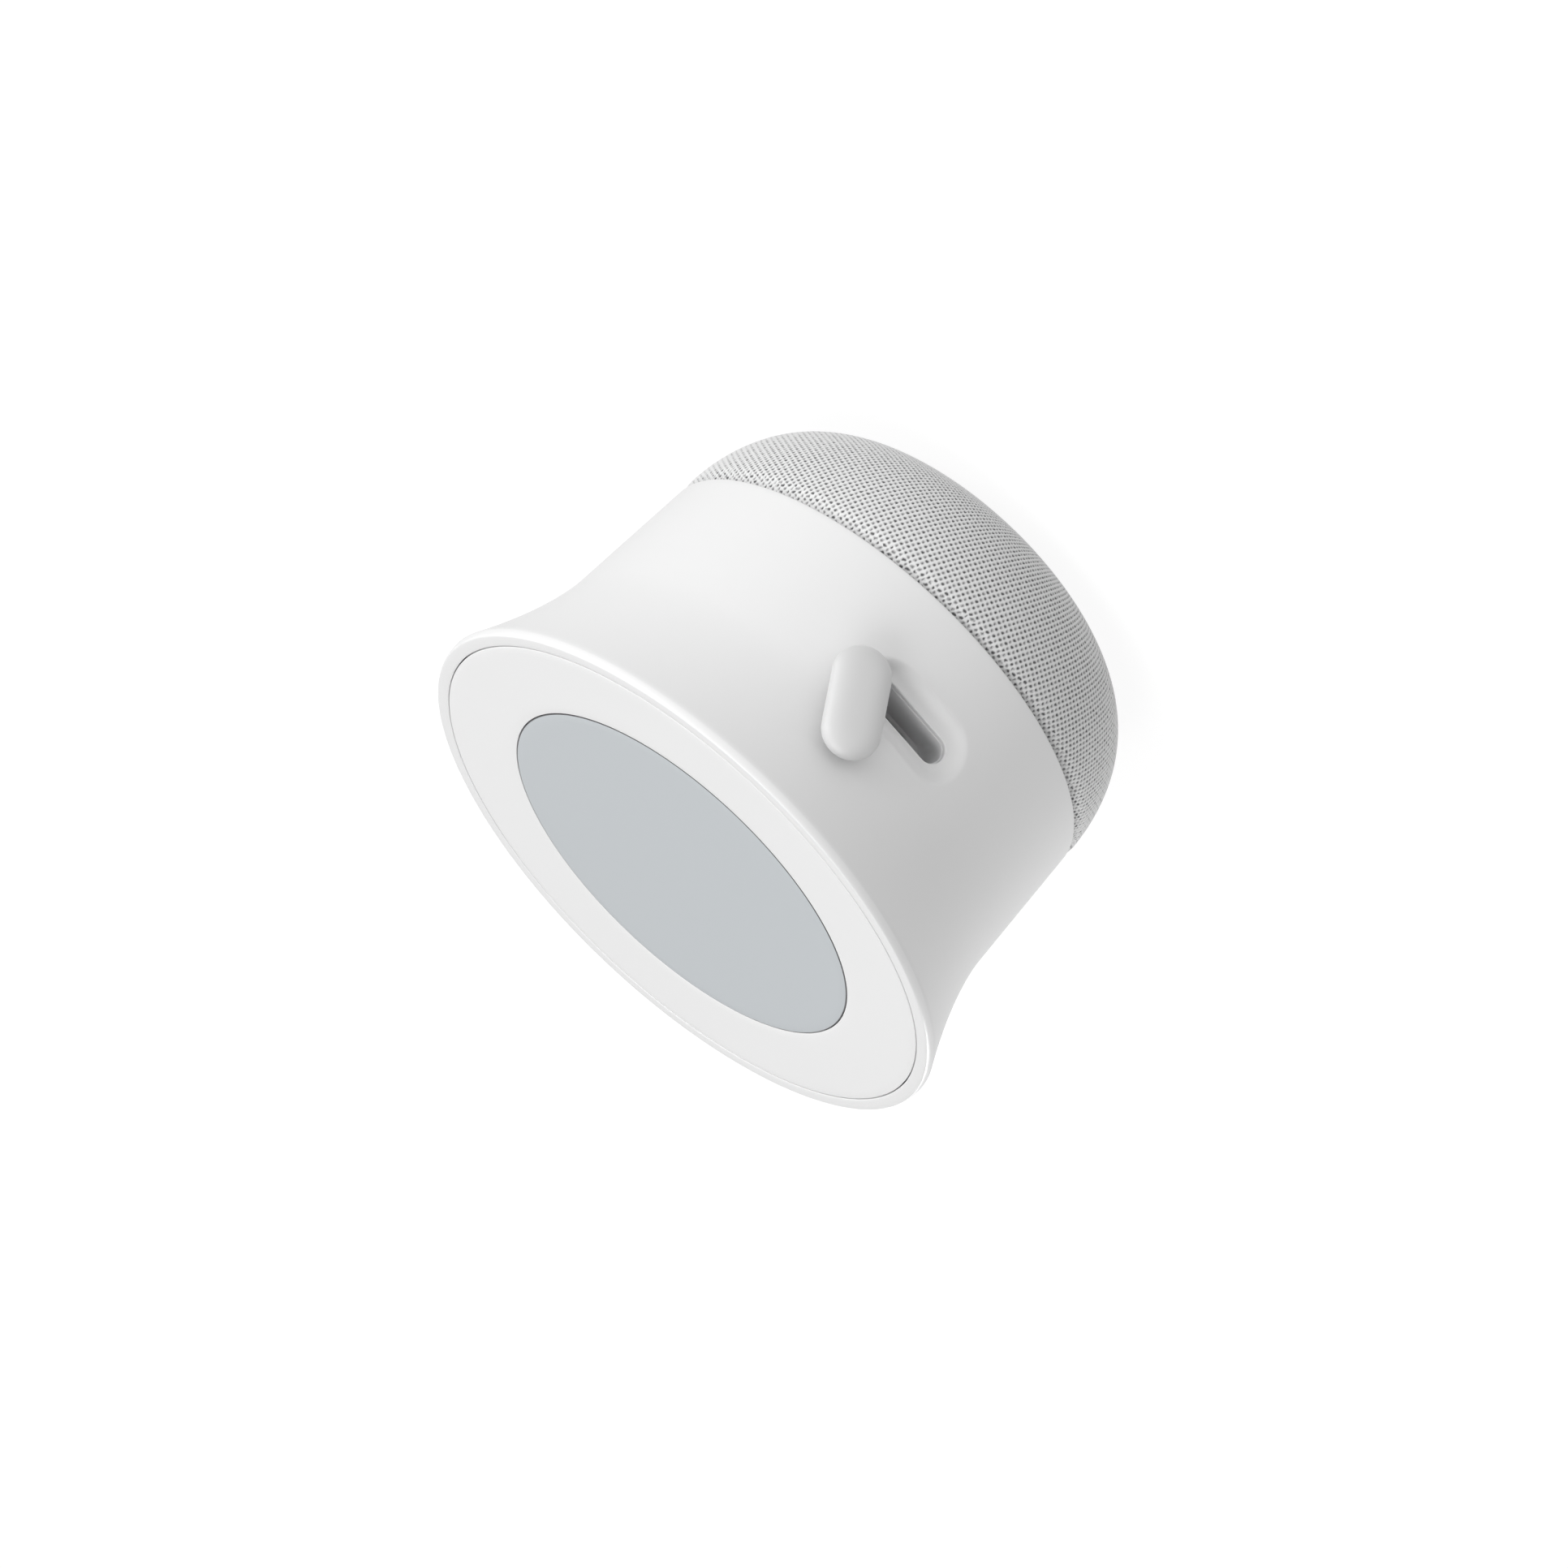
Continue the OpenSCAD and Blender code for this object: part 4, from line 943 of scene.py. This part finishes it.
# %% Pill rings
def pill_ring(half, radius, ends=28, straight=14):
    """Flat points of a ring round a line from -half to half; radius 0 gives the line itself."""
    ring = []
    for sign, first in ((1, -90), (-1, 90)):
        arc = np.radians(np.linspace(first, first + 180, ends + 1))
        ring += [(sign * half + radius * math.cos(a), radius * math.sin(a)) for a in arc]
        ring += [(sign * half * (1 - 2 * k / straight), sign * radius) for k in range(1, straight)]
    return ring


def pill_sweep(rings):
    """Points of rings given as (half, radius, y), in mm, on the port's centre line."""
    return np.array([[(x, y, z + PORT_Z) for x, z in pill_ring(half, radius)] for half, radius, y in rings])


# %% Port cover
COVER_A, COVER_R, COVER_BASE = 4.9, 5.05, 44.75
EDGE_TOP, PILLOW_TALL = 1.85, 2.25
ROUND_SIDE, ROUND_TOP = 2 / 2.5, 2 / 2.3
under = [(0.0, 0.25), (1.6, 0.25), (2.9, 0.22), (3.3, 0.1), (3.55, 0.0), (3.8, 0.05), (3.98, 0.2)]
bevel = [(4.3, 0.55), (4.7, 0.93), (4.92, 1.16), (5.02, 1.36), (COVER_R, 1.6), (COVER_R, EDGE_TOP)]
shoulder = [(COVER_R * max(math.cos(a), 0) ** ROUND_SIDE, EDGE_TOP + PILLOW_TALL * math.sin(a) ** ROUND_TOP)
            for a in (math.radians(degrees) for degrees in np.linspace(4, 90, 22))]
cover_rings = [(COVER_A, r, -COVER_BASE - h) for r, h in under + bevel + shoulder]
cover_points = pill_sweep(cover_rings)
swing = (Matrix.Translation(COVER_PIVOT) @ Matrix.Rotation(math.radians(COVER_OPEN), 4, Vector(COVER_AXIS))
         @ Matrix.Translation([-v for v in COVER_PIVOT]))
swung = [swing @ Vector(p) * MM for p in cover_points.reshape(-1, 3)]
cover_faces = grid_faces(len(cover_rings), cover_points.shape[1])
pillow = add_mesh("cover_pillow", swung, cover_faces, "white_rubber", "cover")
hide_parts("port_cover")

# %% [markdown]
# The strap is a stub of the same rubber, moulded on the cover and pushed into
# the dish. It widens at both ends, as a moulding does where it meets a wider
# part. It rides on no body and stays where it is made.

# %% Strap
STRAP_FOOT, STRAP_REACH = Vector((8.8, -42.3, 46.2)), Vector((2.1, -2.2, 1.1))
STRAP_ROWS, STRAP_STEPS = 17, 24
STRAP_WIDE, STRAP_THICK, STRAP_FLARE, FLARE_SHARE, SUNK = 0.95, 0.68, 0.28, 0.28, 0.03
axis = STRAP_REACH.normalized()
side_a = axis.cross(Vector((0, 0, 1))).normalized()
side_b = axis.cross(side_a)
strap_points = []
for k in range(STRAP_ROWS):
    t = k / (STRAP_ROWS - 1)
    middle = STRAP_FOOT + STRAP_REACH * (SUNK + (1 - SUNK) * t)
    flare = max(0.0, 1 - t / FLARE_SHARE) ** 2 + max(0.0, (t - (1 - FLARE_SHARE)) / FLARE_SHARE) ** 2
    wide, thick = STRAP_WIDE + STRAP_FLARE * flare, STRAP_THICK + STRAP_FLARE * flare
    for a in np.arange(STRAP_STEPS) * 2 * math.pi / STRAP_STEPS:
        strap_points.append((middle + side_a * (wide * math.cos(a)) + side_b * (thick * math.sin(a))) * MM)
strap_end = STRAP_STEPS * (STRAP_ROWS - 1)
strap_faces = grid_faces(STRAP_ROWS, STRAP_STEPS)
strap_faces += [tuple(range(STRAP_STEPS)), tuple(range(strap_end, strap_end + STRAP_STEPS))]
strap = add_mesh("cover_strap", strap_points, strap_faces, "white_rubber", None, sharp=60)
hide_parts("cover_tether")
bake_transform(strap)

# %% [markdown]
# ## Inside the port
# Behind the slot a light liner leads the plug to its metal socket. Its front lip
# is rounded, so that a plug slides in. The socket's tongue carries two rows of
# gold contacts, which are separate small strips that lie in the tongue.

# %% Liner
LIP_R, LIP_Y, BORE_R, LINER_R, FLANGE_R = 0.16, -41.25, 2.25, 3.15, 4.4
liner_rings = [(SLOT_A, LINER_R, -38.2), (SLOT_A, LINER_R, -41.1), (SLOT_A, 3.1, LIP_Y)]
liner_rings += [(SLOT_A, BORE_R + LIP_R - LIP_R * math.sin(a), LIP_Y + LIP_R - LIP_R * math.cos(a))
                for a in np.radians([0, 30, 60, 90])]
liner_rings += [(SLOT_A, BORE_R, y) for y in (-40.2, -38.5, -36.5, -34.8, -33.2)]
liner_rings += [(SLOT_A, 2.05, -33.0), (4.6, 1.9, -33.0), (3.05, 1.73, -33.0), (3.05, 1.73, -31.0)]
liner_rings += [(SLOT_A, 3.0, -31.0), (SLOT_A, 3.0, -36.4), (SLOT_A, FLANGE_R, -36.4)]
liner_rings += [(SLOT_A, FLANGE_R, -37.9), (SLOT_A, LINER_R, -37.9)]
liner_points = pill_sweep(liner_rings)
liner = add_mesh("port_lining", liner_points.reshape(-1, 3) * MM,
                 grid_faces(len(liner_rings), liner_points.shape[1], True), "liner_plastic", sharp=45)
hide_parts("port_liner")

# %% Contacts on the tongue
CONTACTS, CONTACT_PITCH, CONTACT_HALF = 12, 0.5, 0.13
CONTACT_LOW, CONTACT_HIGH, CONTACT_ENDS = 0.34, 0.39, (-32.7, -28.5)
BOX_FACES = [(0, 1, 3, 2), (4, 6, 7, 5), (0, 4, 5, 1), (2, 3, 7, 6), (1, 5, 7, 3), (0, 2, 6, 4)]
contact_points, contact_faces = [], []
for row in (-1, 1):
    for k in range(CONTACTS):
        x = (k - (CONTACTS - 1) / 2) * CONTACT_PITCH
        first = len(contact_points)
        for y in CONTACT_ENDS:
            for dx in (-CONTACT_HALF, CONTACT_HALF):
                contact_points += [(x + dx, y, PORT_Z + row * CONTACT_LOW),
                                   (x + dx * 0.8, y, PORT_Z + row * CONTACT_HIGH)]
        contact_faces += [tuple(first + i for i in f) for f in BOX_FACES]
metal("contact_gold", (0.83, 0.6, 0.25), 0.25, (1.0, 0.1, 1.0), 0.15)
add_mesh("socket_contacts", np.array(contact_points) * MM, contact_faces, "copper", sharp=30,
         look="contact_gold")

# %% [markdown]
# ## The foot
# The rubber foot is what the display stands on. Its underside has fine raised
# rings, which grip a table better than a flat face, and its edge is rounded.

# %% Foot
FOOT_BED, FOOT_TOP, FOOT_STEPS = 0.35, 3.0, 240
TREADS, TREAD_FIRST, TREAD_PITCH = 14, 3.6, 1.15
TREAD = [(-0.3, FOOT_BED), (-0.17, 0.06), (-0.08, 0.0), (0.08, 0.0), (0.17, 0.06), (0.3, FOOT_BED)]
foot_section = [(NEAR_AXIS, FOOT_BED), (3.0, FOOT_BED)]
for k in range(TREADS):
    foot_section += [(TREAD_FIRST + k * TREAD_PITCH + across, up) for across, up in TREAD]
foot_section += [(19.2, FOOT_BED), (19.32, 0.06), (19.4, 0.0)] + fillet((19.7, 0.5), 0.5, -90, 0, 5)
foot_section += [(20.2, 1.6), (20.2, 2.9), (20.1, FOOT_TOP), (10, FOOT_TOP), (NEAR_AXIS, FOOT_TOP)]
foot = add_mesh("rubber_foot", revolve(foot_section, FOOT_STEPS), grid_faces(len(foot_section), FOOT_STEPS),
                "dark_rubber", sharp=50)
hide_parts("foot_pad")

# %% [markdown]
# ## The cone's surround
# The cone hangs in a half-round roll of rubber. Its outer lip is glued to the
# basket and its inner lip to the cone, so in the real speaker the roll flexes as
# the cone moves. Here the ring is made in twelve equal sectors, which ride on no
# body and stay where they are made, and their edges meet.

# %% Surround
SURROUND_Z, ROLL_MIDDLE, ROLL_DEEP = 13.35, 23.2, 1.2
ROLL_IN, ROLL_OUT = 1.1, 1.5
SECTORS, SECTOR_STEPS = 12, 9
LIP_LOW = SURROUND_Z - 0.4


def roll(radius, z, sign):
    """The half-round roll's section, on one side of the rubber."""
    return [(ROLL_MIDDLE + sign * radius * math.cos(a), z - ROLL_DEEP * math.sin(a))
            for a in np.radians(np.linspace(4, 176, 16))]


surround_section = [(26.0, SURROUND_Z), (26.0, LIP_LOW), (25.0, LIP_LOW)] + roll(ROLL_OUT, LIP_LOW, 1)
surround_section += [(21.0, LIP_LOW), (21.0, SURROUND_Z)] + roll(ROLL_IN, SURROUND_Z, -1)
sector_rows = len(surround_section)
sector_faces = []
for i in range(sector_rows):
    low, high = i * SECTOR_STEPS, (i + 1) % sector_rows * SECTOR_STEPS
    sector_faces += [(low + j, low + j + 1, high + j + 1, high + j) for j in range(SECTOR_STEPS - 1)]
for k in range(SECTORS):
    middle = 2 * math.pi * (k + 0.5) / SECTORS
    spread = middle + np.linspace(-math.pi / SECTORS, math.pi / SECTORS, SECTOR_STEPS)
    sector_points = [(r * math.cos(a) * MM, r * math.sin(a) * MM, z * MM)
                     for r, z in surround_section for a in spread]
    sector = add_mesh(f"surround_{k + 1:02d}", sector_points, sector_faces, "dark_rubber", None, sharp=50)
    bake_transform(sector)
    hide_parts("driver_surround")
